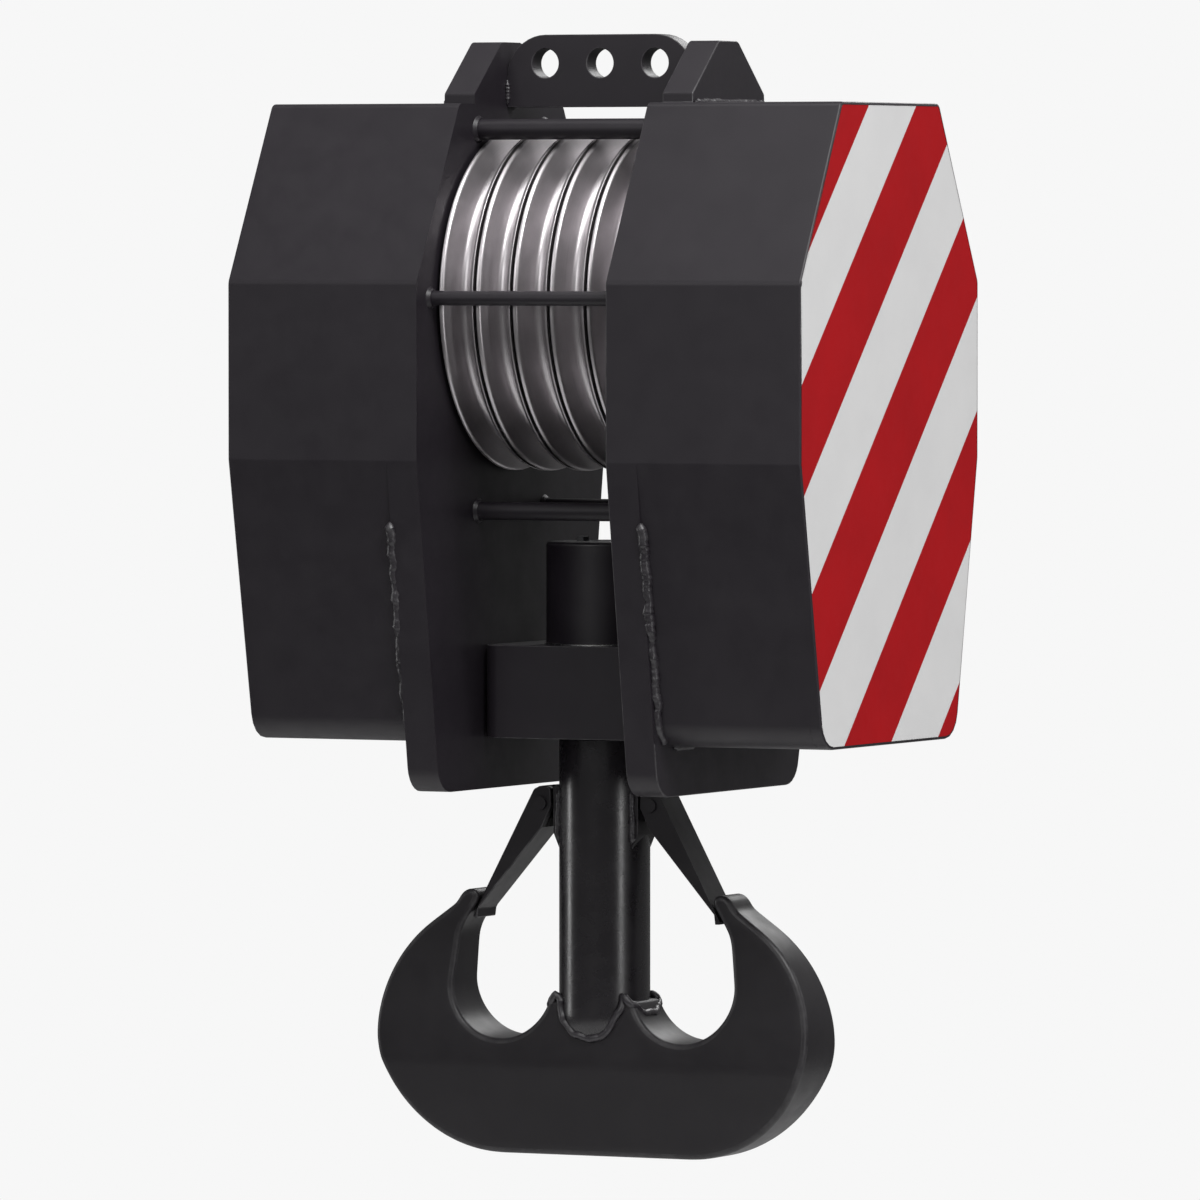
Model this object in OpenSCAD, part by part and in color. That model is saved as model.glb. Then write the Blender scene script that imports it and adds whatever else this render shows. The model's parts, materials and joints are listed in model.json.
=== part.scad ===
// Ramshorn hook block for a mobile or crawler crane: five rope sheaves between two side plates,
// a weighted cheek on each side, a swivelling double hook hung from a tilting crosshead.
// The origin is the middle of the sheave axle. X runs along the axle, Y to the back, Z up.

/* [Side plates] */
// Gap between the two side plates
plate_gap = 340; // [339:0.5:342]
// Thickness of a side plate
plate_t = 55; // [50:1:60]
// Height of the plates' flat top edge above the axle
plate_top = 322; // [316:1:328]
// Lowest edge of the plates below the axle
plate_bottom = 801; // [790:1:820]
// Half width of a plate at its knees
knee_y = 349; // [345:1:355]
// Height of the upper knee
knee_top = 31; // [20:1:40]
// Depth of the lower knee
knee_bottom = 259; // [250:1:270]
// Height of the rigging lugs on top of the plates
lug_top = 424; // [420:1:430]

/* [Cheeks] */
// Distance from the middle of the block to the outer face of a cheek
cheek_x = 515; // [510:1:525]
// Depth of a cheek's flat bottom below the axle
cheek_bottom = 719; // [710:1:725]
// Half width of a cheek at its bottom
cheek_bottom_y = 262; // [255:1:268]
// Wall of the cheek casing
casing_t = 15; // [10:1:18]
// Thickness of the outer cover
cover_t = 20; // [18:1:22]
// Thickness of one ballast slab
slab_t = 48; // [40:1:48]
// Ballast slabs in each cheek
slab_count = 4; // [1:1:4]

/* [Anchor plate] */
// Thickness of the rope anchor plate
anchor_t = 36; // [30:1:40]
// Radius of an anchor hole
anchor_hole_r = 24; // [20:1:28]
// Spacing of the anchor holes
anchor_pitch = 100; // [90:1:105]
// Top edge of the anchor plate
anchor_top = 436; // [432:1:442]
// Depth of the anchor holes below the top edge
anchor_hole_depth = 47; // [40:1:52]

/* [Sheaves] */
// Number of sheaves on the axle
sheave_count = 5; // [5:1:5]
// Outer radius of a sheave
sheave_r = 280; // [276:1:281]
// Distance between neighbouring sheaves
sheave_pitch = 66.6; // [66:0.1:67]
// Width of a sheave over its rims
sheave_w = 61; // [60:0.5:62]
// Radius of the rope seat
seat_r = 12; // [10:0.5:13]
// Depth of the groove below the rim
groove_depth = 40; // [35:1:42]
// Radius of the axle
axle_r = 75; // [73:1:75]
// Rollers in one sheave bearing
roller_count = 20; // [12:1:28]

/* [Rope guards] */
// Radius of the top guard rods
top_rod_r = 17; // [14:1:19]
// Radius of the middle guard rods
middle_rod_r = 12; // [8:1:14]
// Radius of the lower tie rods
tie_rod_r = 15; // [12:1:18]

/* [Crosshead] */
// Depth of the tilt axis below the sheave axle
tilt_depth = 640; // [636:1:644]
// Height of the crosshead block
crosshead_h = 152; // [146:1:156]
// Half width of the crosshead block, front to back
crosshead_y = 124; // [120:1:126]
// Radius of the trunnions
trunnion_r = 58; // [54:1:60]
// Radius of the thrust bearing
thrust_r = 100; // [98:1:104]
// Balls in the thrust bearing
ball_count = 20; // [12:1:24]
// Radius of the hook nut
nut_r = 96; // [92:1:98]
// Depth of the nut's top below the sheave axle
nut_top = 395; // [392:1:400]

/* [Hook] */
// Radius of the hook shank below the crosshead
shank_r = 75; // [74:0.5:76]
// Half width of the double hook
hook_x = 392; // [388:1:394]
// Depth of the hook's flat underside
hook_bottom = 1404.5; // [1400:0.5:1410]
// Depth of the hook's tips
tip_top = 969.5; // [969:0.5:971]
// Radius of the two bowls
bowl_r = 91; // [88:1:92]
// Distance of a bowl's centre from the middle
bowl_x = 165; // [164:0.5:165]
// Depth of the bowls' centres
bowl_depth = 1123; // [1120:1:1126]

/* [Latches] */
// Distance of a latch pin from the middle
latch_x = 100; // [99:1:101]
// Depth of the latch pins
latch_depth = 826; // [824:1:828]
// Half width of a latch
latch_y = 35; // [34:1:38]
// Radius of a latch pin
latch_pin_r = 7; // [6:0.5:8]

/* [Hidden] */
$fn = 96;

// Paint and metal colours
frame_paint = "#3f3f43";
hook_paint = "#38383b";
cover_paint = "#c8c8c8";
bright_steel = "#c9ccd0";
dark_steel = "#6d7075";
raw_steel = "#8a8d92";
bronze = "#b08d57";

// Running clearance on a radius
run = 0.05;
plate_in = plate_gap / 2;
plate_out = plate_in + plate_t;

// Cheek casing
casing_end = cheek_x - cover_t;
cheek_top_y = 192;
cheek_edge_r = 3;

// Ballast stack
slab_start = plate_out + 45;
slab_gap = 5;
stud_r = 18;
stud_places = [[-120, 200], [120, 200], [-200, -500], [200, -500]];

// Axle and sheave bearing
axle_end = plate_out + 27;
keeper_z = 56;
keeper_t = 20;
keeper_h = 44;
keeper_y = 100;
keeper_bolt_y = 75;
keeper_bolt_z = keeper_z + keeper_h / 2;
keeper_bolt_depth = 30;
grease_r = 5;
inner_ring_r = 86;
roller_r = 9.5;
roller_pitch_r = inner_ring_r + roller_r;
outer_ring_in = inner_ring_r + 2 * roller_r;
outer_ring_r = 115;
outer_ring_w = 50;
inner_ring_w = 60;
clip_t = 3;
clip_groove_r = outer_ring_r + 3.5;
web_w = 28;
hub_r = 148;

// Crosshead and thrust bearing
tilt_z = -tilt_depth;
crosshead_top = tilt_z + crosshead_h / 2;
crosshead_bottom = tilt_z - crosshead_h / 2;
crosshead_x = plate_in - 4;
bush_r = trunnion_r + 10;
cap_r = 62;
cap_t = 14;
cap_start = plate_out + 1.5;
cap_bolt_pcd = 72;
cap_bolt_depth = 36;
neck_r = 70;
thread_r = 65;
race_seat = crosshead_top - 46;
race_t = 13;
ball_r = 9.9;
ball_z = race_seat + race_t + ball_r + run;
race_top_z = ball_z + ball_r + run;
nut_bottom = race_top_z + 15;

// Lock plate across the nut and the shank end
lock_x = 60;
lock_y = 20;
lock_t = 12;
lock_bolt_x = 40;
lock_bolt_l = 36;

// Guard rods: distance to the front or back, and height
top_rod = [122, 280];
middle_rod = [298, 5];
tie_rod = [124, -344];
collar_w = 6;

// Hook: half thickness against height
hook_crease = -1253;
shank_dome = -1168;
hook_sections = [[36, -950], [47.5, -1100], [59.5, -1189], [63, hook_crease], [50, -1330], [37, -1420]];

// Bolts
m20_r = 10;
m12_r = 6;

// Latch geometry
latch_web = 8;
tongue_r = 13;
tongue_y = 8;
slot_r = 38;
slot_y = 21;
spring_wire_r = 2;
spring_coil_r = 10.2;
spring_turns = 3;
coil_pitch = 1.8 * spring_wire_r;

// Directions and corner rounding for outlines
function unit(v) = v / norm(v);
function xy(p) = [p[0], p[1]];
function turn(a, b) = a[0] * b[1] - a[1] * b[0];

// Points of the arc that rounds the corner at b, whose third value is the radius
function rounded_corner(a, b, c, steps) =
    let (u = unit(xy(a) - xy(b)), v = unit(xy(c) - xy(b)), half = acos(u * v) / 2)
    let (centre = xy(b) + unit(u + v) * b[2] / sin(half), first = xy(b) + u * b[2] / tan(half) - centre)
    let (start = atan2(first[1], first[0]), sweep = (180 - 2 * half) * sign(turn(v, u)))
    [for (i = [0:steps]) centre + b[2] * [cos(start + sweep * i / steps), sin(start + sweep * i / steps)]];

// Closed outline from corners [u, v, radius]
function rounded(corners, steps = 6) =
    let (n = len(corners))
    [for (i = [0:n - 1])
        each corners[i][2] == 0
            ? [xy(corners[i])]
            : rounded_corner(corners[(i + n - 1) % n], corners[i], corners[(i + 1) % n], steps)];

// A half outline and its mirror image, as one closed loop
function both_halves(half) =
    concat(half, [for (i = [len(half) - 1:-1:0]) [-half[i][0], half[i][1], half[i][2]]]);

function arc(centre, r, from, to, steps) =
    [for (i = [0:steps])
        let (a = from + (to - from) * i / steps)
        centre + r * [cos(a), sin(a)]];

function ring_points(count, r) = [for (i = [0:count - 1]) r * [cos(360 * i / count), sin(360 * i / count)]];

// A flat outline in Y and Z, stretched along X
module along_x(from, to) {
    translate([from, 0, 0])
        rotate([90, 0, 90])
            linear_extrude(height = to - from)
                children();
}

// A flat outline in X and Z, stretched along Y about the middle
module across_y(width) {
    rotate([90, 0, 0])
        linear_extrude(height = width, center = true)
            children();
}

module shaft_x(r, from, to) {
    translate([from, 0, 0])
        rotate([0, 90, 0])
            cylinder(r = r, h = to - from);
}

module shaft_y(r, length) {
    rotate([90, 0, 0])
        cylinder(r = r, h = length, center = true);
}

module tube_x(r_in, r_out, from, to) {
    difference() {
        shaft_x(r_out, from, to);
        shaft_x(r_in, from - 1, to + 1);
    }
}

module disc_ring(r_in, r_out, h) {
    difference() {
        cylinder(r = r_out, h = h);
        translate([0, 0, -1])
            cylinder(r = r_in, h = h + 2);
    }
}

module left_side() {
    mirror([1, 0, 0])
        children();
}

module both_sides() {
    children();
    left_side()
        children();
}

// Hexagon bolt along X: the head sits at x = 0 and points outwards, the shank runs inwards
module bolt_x(r, length) {
    shaft_x(r, -length, 0);
    rotate([0, 90, 0])
        cylinder(r = 1.8 * r, h = 1.3 * r, $fn = 6);
}

// Corners of the cheek's outline, with each edge moved inwards by d
function cheek_corner_inset(d) = both_halves([
    [cheek_top_y - 0.61 * d, plate_top - d, max(14 - d, 4)],
    [knee_y - d, knee_top - 0.25 * d, 20],
    [knee_y - d, -knee_bottom + 0.1 * d, 20],
    [cheek_bottom_y - 0.83 * d, -cheek_bottom + d, 50 - d]
]);

module side_plate() {
    difference() {
        along_x(plate_in, plate_out)
            polygon(rounded(both_halves([
                [36, lug_top, 20],
                [137, plate_top + 16, 6],
                [137, plate_top, 0],
                [cheek_top_y, plate_top, 14],
                [knee_y, knee_top, 20],
                [knee_y, -knee_bottom, 20],
                [280, -713, 120],
                [267, -plate_bottom, 48]
            ])));
        shaft_x(axle_r, plate_in - 1, plate_out + 1);
        translate([0, 0, tilt_z])
            shaft_x(bush_r, plate_in - 1, plate_out + 1);
        for (y = [-keeper_bolt_y, keeper_bolt_y])
            translate([0, y, keeper_bolt_z])
                shaft_x(m20_r, plate_out - keeper_bolt_depth, plate_out + 1);
    }
}

module side_plate_left() {
    color(frame_paint)
        left_side()
            side_plate();
}

module side_plate_right() {
    color(frame_paint)
        side_plate();
}

module anchor_plate() {
    round_r = 70;
    bottom = plate_top - 5;
    color(frame_paint)
        difference() {
            across_y(anchor_t)
                polygon(rounded(both_halves([
                    [plate_in, anchor_top, round_r],
                    [plate_in, bottom, 0]
                ]), 10));
            for (i = [-1:1])
                translate([i * anchor_pitch, 0, anchor_top - anchor_hole_depth])
                    shaft_y(anchor_hole_r, anchor_t + 2);
        }
}

module cheek_casing() {
    difference() {
        along_x(plate_out, casing_end)
            polygon(rounded(cheek_corner_inset(0)));
        along_x(plate_out - 1, casing_end + 1)
            polygon(rounded(cheek_corner_inset(casing_t)));
    }
}

module cheek_casing_left() {
    color(frame_paint)
        left_side()
            cheek_casing();
}

module cheek_casing_right() {
    color(frame_paint)
        cheek_casing();
}

// The cover's outer edge is a quarter round
module cheek_cover() {
    edge_start = cheek_x - cheek_edge_r;
    slice = 0.5;
    hull() {
        along_x(casing_end, edge_start)
            polygon(rounded(cheek_corner_inset(0), 4));
        for (a = [22.5:22.5:90])
            along_x(edge_start + cheek_edge_r * sin(a) - slice, edge_start + cheek_edge_r * sin(a))
                polygon(rounded(cheek_corner_inset(cheek_edge_r * (1 - cos(a))), 4));
    }
}

module cheek_cover_left() {
    color(cover_paint)
        left_side()
            cheek_cover();
}

module cheek_cover_right() {
    color(cover_paint)
        cheek_cover();
}

module ballast_slabs() {
    for (i = [0:slab_count - 1])
        difference() {
            along_x(slab_start + i * slab_t, slab_start + (i + 1) * slab_t - 0.5)
                polygon(rounded(cheek_corner_inset(casing_t + slab_gap)));
            for (p = stud_places)
                translate([0, p[0], p[1]])
                    shaft_x(stud_r, slab_start - 1, slab_start + slab_count * slab_t + 1);
        }
}

module ballast_slabs_left() {
    color(raw_steel)
        left_side()
            ballast_slabs();
}

module ballast_slabs_right() {
    color(raw_steel)
        ballast_slabs();
}

// Studs with a spacing tube at the plate and a nut on the outside of the stack
module ballast_studs() {
    stack_end = slab_start + slab_count * slab_t - 0.5;
    nut_h = 22;
    for (p = stud_places)
        translate([0, p[0], p[1]]) {
            shaft_x(stud_r, plate_out, stack_end + nut_h + 6);
            tube_x(stud_r, 30, plate_out, slab_start);
            difference() {
                translate([stack_end, 0, 0])
                    rotate([0, 90, 0])
                        cylinder(r = 1.8 * stud_r, h = nut_h, $fn = 6);
                shaft_x(stud_r, stack_end - 1, stack_end + nut_h + 1);
            }
        }
}

module ballast_studs_left() {
    color(dark_steel)
        left_side()
            ballast_studs();
}

module ballast_studs_right() {
    color(dark_steel)
        ballast_studs();
}

// A rod between the plates at [distance, height], side = -1 front or 1 back
module guard_rod(place, r, side) {
    color(frame_paint)
        translate([0, side * place[0], place[1]])
            shaft_x(r, -plate_in, plate_in);
}

module top_guard_front() { guard_rod(top_rod, top_rod_r, -1); }
module top_guard_back() { guard_rod(top_rod, top_rod_r, 1); }
module middle_guard_front() { guard_rod(middle_rod, middle_rod_r, -1); }
module middle_guard_back() { guard_rod(middle_rod, middle_rod_r, 1); }
module tie_rod_front() { guard_rod(tie_rod, tie_rod_r, -1); }
module tie_rod_back() { guard_rod(tie_rod, tie_rod_r, 1); }

// A tapered collar where a rod meets a plate
module rod_collar(place, r, side) {
    translate([plate_in - collar_w, side * place[0], place[1]])
        rotate([0, 90, 0])
            difference() {
                cylinder(r1 = r + 2, r2 = r + 6, h = collar_w);
                translate([0, 0, -1])
                    cylinder(r = r, h = collar_w + 2);
            }
}

module rod_collars() {
    rods = [[top_rod, top_rod_r], [middle_rod, middle_rod_r], [tie_rod, tie_rod_r]];
    color(frame_paint)
        both_sides()
            for (side = [-1, 1])
                for (rod = rods)
                    rod_collar(rod[0], rod[1], side);
}

function sheave_x(i) = (i - (sheave_count + 1) / 2) * sheave_pitch;

module sheave_axle() {
    color(bright_steel)
        difference() {
            shaft_x(axle_r, -axle_end, axle_end);
            both_sides()
                translate([plate_out, -axle_r, keeper_z])
                    cube([keeper_t, 2 * axle_r, axle_r]);
            shaft_x(grease_r, -axle_end - 1, axle_end + 1);
            for (i = [1:sheave_count])
                translate([sheave_x(i), 0, 0])
                    cylinder(r = grease_r, h = axle_r + 1);
        }
}

module axle_keepers() {
    color(dark_steel)
        both_sides()
            difference() {
                translate([plate_out, -keeper_y, keeper_z])
                    cube([keeper_t, 2 * keeper_y, keeper_h]);
                for (y = [-keeper_bolt_y, keeper_bolt_y])
                    translate([0, y, keeper_bolt_z])
                        shaft_x(m20_r, plate_out - 1, plate_out + keeper_t + 1);
            }
}

module keeper_bolts() {
    color(dark_steel)
        both_sides()
            for (y = [-keeper_bolt_y, keeper_bolt_y])
                translate([plate_out + keeper_t, y, keeper_bolt_z])
                    bolt_x(m20_r, keeper_t + keeper_bolt_depth);
}

module axle_spacers() {
    outer_r = axle_r + 13;
    inner_end = sheave_x(sheave_count) + inner_ring_w / 2;
    gap = sheave_pitch - inner_ring_w;
    color(raw_steel) {
        both_sides()
            tube_x(axle_r, outer_r, inner_end, plate_in);
        for (i = [1:sheave_count - 1])
            tube_x(axle_r, outer_r, sheave_x(i) + inner_ring_w / 2, sheave_x(i) + inner_ring_w / 2 + gap);
    }
}

module grease_nipples() {
    color(bronze)
        both_sides() {
            shaft_x(grease_r, axle_end - 10, axle_end);
            translate([axle_end, 0, 0])
                rotate([0, 90, 0])
                    cylinder(r = 8, h = 6, $fn = 6);
            shaft_x(4, axle_end + 6, axle_end + 12);
        }
}

module bearing_inner_rings() {
    color(bright_steel)
        for (i = [1:sheave_count])
            tube_x(axle_r, inner_ring_r, sheave_x(i) - inner_ring_w / 2, sheave_x(i) + inner_ring_w / 2);
}

module bearing_rollers() {
    half_length = 22;
    color(bright_steel)
        for (i = [1:sheave_count])
            for (p = ring_points(roller_count, roller_pitch_r))
                translate([0, p[0], p[1]])
                    shaft_x(roller_r - run, sheave_x(i) - half_length, sheave_x(i) + half_length);
}

module trunnion_bushes() {
    color(bronze)
        both_sides()
            translate([0, 0, tilt_z])
                tube_x(trunnion_r + run, bush_r, plate_in, plate_out);
}

// Half section of a sheave as [radius, distance from its middle]
function sheave_half_section() =
    let (half_w = sheave_w / 2, seat = sheave_r - groove_depth + seat_r, flank = 67.5)
    let (lip = seat_r * sin(flank) + (sheave_r - seat + seat_r * cos(flank)) * tan(90 - flank))
    concat(
        arc([seat, 0], seat_r, 180, 180 - flank, 6),
        [[sheave_r, lip], [sheave_r, half_w - 2], [sheave_r - 2, half_w], [sheave_r - 46, half_w]],
        [[sheave_r - 58, web_w / 2], [hub_r + 6, web_w / 2], [hub_r, half_w], [outer_ring_r, half_w]],
        [[outer_ring_r, outer_ring_w / 2 + clip_t + 0.2], [clip_groove_r, outer_ring_w / 2 + clip_t + 0.2]],
        [[clip_groove_r, outer_ring_w / 2], [outer_ring_r, outer_ring_w / 2]]
    );

module sheave(i) {
    half = sheave_half_section();
    section = concat(half, [for (k = [len(half) - 1:-1:1]) [half[k][0], -half[k][1]]]);
    color(bright_steel)
        translate([sheave_x(i), 0, 0])
            rotate([0, 90, 0])
                rotate_extrude()
                    polygon(section);
}

module bearing_outer(i) {
    color(raw_steel)
        tube_x(outer_ring_in, outer_ring_r, sheave_x(i) - outer_ring_w / 2, sheave_x(i) + outer_ring_w / 2);
}

// A split retaining ring on each side of the outer ring
module bearing_clips(i) {
    gap = 30;
    clip_start = outer_ring_w / 2;
    color(dark_steel)
        translate([sheave_x(i), 0, 0])
            both_sides()
                difference() {
                    tube_x(outer_ring_r - 6, clip_groove_r - 0.5, clip_start, clip_start + clip_t);
                    translate([0, -gap / 2, -clip_groove_r - 1])
                        cube([outer_ring_w, gap, 20]);
                }
}

module crosshead() {
    trunnion_end = cap_start;
    corner = 30;
    color(frame_paint)
        difference() {
            union() {
                translate([0, 0, crosshead_bottom])
                    linear_extrude(height = crosshead_h)
                        polygon(rounded([
                            [crosshead_x, crosshead_y, corner],
                            [-crosshead_x, crosshead_y, corner],
                            [-crosshead_x, -crosshead_y, corner],
                            [crosshead_x, -crosshead_y, corner]
                        ], 8));
                translate([0, 0, tilt_z])
                    shaft_x(trunnion_r, -trunnion_end, trunnion_end);
            }
            translate([0, 0, crosshead_bottom - 1])
                cylinder(r = neck_r + run, h = crosshead_h + 2);
            translate([0, 0, race_seat])
                cylinder(r = thrust_r, h = crosshead_h);
            translate([0, 0, tilt_z])
                both_sides()
                    for (p = ring_points(3, cap_bolt_pcd / 2))
                        translate([0, p[0], p[1]])
                            shaft_x(m20_r, trunnion_end - cap_bolt_depth, trunnion_end + 1);
        }
}

module trunnion_caps() {
    color(dark_steel)
        translate([0, 0, tilt_z])
            both_sides()
                difference() {
                    shaft_x(cap_r, cap_start, cap_start + cap_t);
                    for (p = ring_points(3, cap_bolt_pcd / 2))
                        translate([0, p[0], p[1]])
                            shaft_x(m20_r, cap_start - 1, cap_start + cap_t + 1);
                }
}

module cap_bolts() {
    color(dark_steel)
        translate([0, 0, tilt_z])
            both_sides()
                for (p = ring_points(3, cap_bolt_pcd / 2))
                    translate([cap_start + cap_t, p[0], p[1]])
                        bolt_x(m20_r, cap_t + cap_bolt_depth);
}

module thrust_race_lower() {
    color(bright_steel)
        translate([0, 0, race_seat])
            disc_ring(neck_r + 1, thrust_r, race_t);
}

module thrust_balls() {
    color(bright_steel)
        for (p = ring_points(ball_count, thrust_r - 14.5))
            translate([p[0], p[1], ball_z])
                sphere(r = ball_r, $fn = 48);
}

module thrust_race_upper() {
    color(bright_steel)
        translate([0, 0, race_top_z])
            disc_ring(neck_r, thrust_r - 1, nut_bottom - race_top_z);
}

// The bar across the nut and the shank end, seen as a block of a given height
module lock_bar(height) {
    translate([-lock_x, -lock_y, -nut_top - lock_t])
        cube([2 * lock_x, 2 * lock_y, height]);
}

module hook_nut() {
    chamfer = 4;
    height = -nut_top - nut_bottom;
    color(dark_steel)
        difference() {
            translate([0, 0, nut_bottom])
                rotate_extrude()
                    polygon([
                        [thread_r, 0], [nut_r, 0], [nut_r, height - chamfer],
                        [nut_r - chamfer, height], [thread_r, height]
                    ]);
            lock_bar(lock_t + 8);
        }
}

module nut_lock_plate() {
    color(dark_steel)
        difference() {
            lock_bar(lock_t);
            for (x = [-lock_bolt_x, lock_bolt_x])
                translate([x, 0, -nut_top - lock_t - 1])
                    cylinder(r = m12_r, h = lock_t + 2);
        }
}

module nut_lock_bolts() {
    color(dark_steel)
        for (x = [-lock_bolt_x, lock_bolt_x])
            translate([x, 0, -nut_top])
                rotate([0, -90, 0])
                    bolt_x(m12_r, lock_bolt_l);
}

// Right half of the double hook: outer edge, tip, then the bowl
function hook_half_outline() =
    let (belly_x = hook_x - 76.3, belly_z = -1236.5, shoulder_z = -1092.6, tip_out = [255, -993.5])
    concat(
        rounded_corner([0, -hook_bottom], [belly_x, -hook_bottom, 225], [hook_x, belly_z], 12),
        rounded_corner([belly_x, -hook_bottom], [hook_x, belly_z, 145], [hook_x, shoulder_z], 4),
        rounded_corner([hook_x, belly_z], [hook_x, shoulder_z, 218], tip_out, 12),
        rounded_corner([hook_x, shoulder_z], [tip_out[0], tip_out[1], 6], [241, -tip_top], 2),
        rounded_corner(tip_out, [241, -tip_top, 25], [203, -tip_top], 5),
        rounded_corner([241, -tip_top], [203, -tip_top, 12], [244, -1034], 5),
        rounded_corner([203, -tip_top], [244, -1034, 80], [bowl_x + bowl_r, -1090], 4),
        arc([bowl_x, -bowl_depth], bowl_r, 0, -180, 24)
    );

module hook_plate() {
    half = hook_half_outline();
    outline = concat(half, [for (i = [len(half) - 1:-1:0]) [-half[i][0], half[i][1]]]);
    section = concat(
        hook_sections,
        [for (i = [len(hook_sections) - 1:-1:0]) [-hook_sections[i][0], hook_sections[i][1]]]
    );
    intersection() {
        across_y(200)
            polygon(outline);
        along_x(-hook_x - 10, hook_x + 10)
            polygon(section);
    }
}

// Round shank: domed end inside the hook, neck in the crosshead, thread in the nut
module hook_shank() {
    shoulder = crosshead_bottom - 2;
    chamfer = 3;
    rotate_extrude()
        polygon(concat(
            arc([0, shank_dome], shank_r, -90, 0, 12),
            [[shank_r, shoulder - chamfer], [shank_r - chamfer, shoulder], [neck_r, shoulder]],
            [[neck_r, nut_bottom], [thread_r, nut_bottom], [thread_r, -nut_top], [0, -nut_top]]
        ));
}

module hook() {
    color(hook_paint)
        difference() {
            union() {
                hook_plate();
                hook_shank();
            }
            lock_bar(lock_t + 8);
            for (x = [-lock_bolt_x, lock_bolt_x])
                translate([x, 0, -nut_top - lock_bolt_l])
                    cylinder(r = m12_r, h = lock_bolt_l + 1);
        }
}

// Block welded to the shank, with a bored tongue for the latch pin
module latch_bracket() {
    root_end = latch_x - 23;
    tongue_end = latch_x + tongue_r;
    difference() {
        union() {
            across_y(2 * latch_y)
                polygon([[50, -797], [root_end, -797], [root_end, -874], [66, -900], [50, -900]]);
            across_y(2 * tongue_y)
                polygon(rounded([
                    [root_end - 1, -latch_depth + tongue_r, 0],
                    [tongue_end, -latch_depth + tongue_r, tongue_r - 0.5],
                    [tongue_end, -latch_depth - 26, tongue_r - 0.5],
                    [root_end - 1, -latch_depth - 28, 0]
                ]));
        }
        translate([0, 0, -1000])
            cylinder(r = shank_r, h = 300);
        translate([latch_x, 0, -latch_depth])
            shaft_y(latch_pin_r, 2 * latch_y + 2);
    }
}

module latch_bracket_left() {
    color(hook_paint)
        left_side()
            latch_bracket();
}

module latch_bracket_right() {
    color(hook_paint)
        latch_bracket();
}

module latch_pin() {
    head = 4;
    translate([latch_x, 0, -latch_depth]) {
        shaft_y(latch_pin_r, 2 * latch_y + 2);
        for (side = [-1, 1])
            translate([0, side * (latch_y + 1 + head / 2), 0])
                shaft_y(latch_pin_r + 4, head);
    }
}

module latch_pin_left() {
    color(hook_paint)
        left_side()
            latch_pin();
}

module latch_pin_right() {
    color(hook_paint)
        latch_pin();
}

// Latch: a wedge that tapers to a lip at its tip, slotted round the pin for the bracket's tongue
module latch() {
    outer_top = [113, -803];
    outer_end = [225, -1013.6];
    along = unit(outer_end - outer_top);
    inward = [along[1], -along[0]];
    slot_top = outer_top - 60 * along + latch_web * inward;
    slot_end = outer_end + latch_web * inward;
    difference() {
        across_y(2 * latch_y)
            polygon(rounded([
                [outer_top[0], outer_top[1], 8], [outer_end[0], outer_end[1], 0],
                [224, -1018, 0], [217, -1018, 0], [215, -1002, 0],
                [98, -866, 10], [81, -830, 10], [83, -798, 6], [103, -798, 6]
            ], 4));
        intersection() {
            translate([latch_x, 0, -latch_depth])
                shaft_y(slot_r, 2 * slot_y);
            across_y(2 * slot_y + 2)
                polygon([slot_top, slot_end, slot_end + 120 * inward, slot_top + 120 * inward]);
        }
        translate([latch_x, 0, -latch_depth])
            shaft_y(latch_pin_r + run, 2 * latch_y + 2);
    }
}

module latch_left() {
    color(hook_paint)
        left_side()
            latch();
}

module latch_right() {
    color(hook_paint)
        latch();
}

// Section through the turns of a close-wound coil as [radius, distance along the pin]
function coil_section() =
    let (last = spring_turns - 1, valley = asin(coil_pitch / 2 / spring_wire_r))
    concat(
        [for (i = [0:last])
            each arc([spring_coil_r, i * coil_pitch], spring_wire_r,
                i == 0 ? -90 : -valley, i == last ? 90 : valley, 8)],
        [for (i = [last:-1:0])
            each arc([spring_coil_r, i * coil_pitch], spring_wire_r,
                i == last ? 100 : 180 - valley, i == 0 ? 260 : 180 + valley, 8)]
    );

// Torsion spring on the pin, on each side of the bracket, with a leg against the shank
module latch_spring() {
    leg_end = spring_coil_r + 11.5;
    for (side = [0, 1])
        mirror([0, side, 0])
            translate([latch_x, tongue_y + spring_wire_r + 0.6, -latch_depth]) {
                rotate([-90, 0, 0])
                    rotate_extrude()
                        polygon(coil_section());
                rotate([0, -90, 0])
                    translate([0, 0, spring_coil_r])
                        cylinder(r = 0.8 * spring_wire_r, h = leg_end - spring_coil_r);
            }
}

module latch_spring_left() {
    color(raw_steel)
        left_side()
            latch_spring();
}

module latch_spring_right() {
    color(raw_steel)
        latch_spring();
}

side_plate_left();
side_plate_right();
anchor_plate();
cheek_casing_left();
cheek_casing_right();
cheek_cover_left();
cheek_cover_right();
ballast_slabs_left();
ballast_slabs_right();
ballast_studs_left();
ballast_studs_right();
top_guard_front();
top_guard_back();
middle_guard_front();
middle_guard_back();
tie_rod_front();
tie_rod_back();
rod_collars();
sheave_axle();
axle_keepers();
keeper_bolts();
axle_spacers();
grease_nipples();
bearing_inner_rings();
bearing_rollers();
trunnion_bushes();
sheave(1);  // sheave_1
sheave(2);  // sheave_2
sheave(3);  // sheave_3
sheave(4);  // sheave_4
sheave(5);  // sheave_5
bearing_outer(1);  // bearing_outer_1
bearing_outer(2);  // bearing_outer_2
bearing_outer(3);  // bearing_outer_3
bearing_outer(4);  // bearing_outer_4
bearing_outer(5);  // bearing_outer_5
bearing_clips(1);  // bearing_clips_1
bearing_clips(2);  // bearing_clips_2
bearing_clips(3);  // bearing_clips_3
bearing_clips(4);  // bearing_clips_4
bearing_clips(5);  // bearing_clips_5
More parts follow.
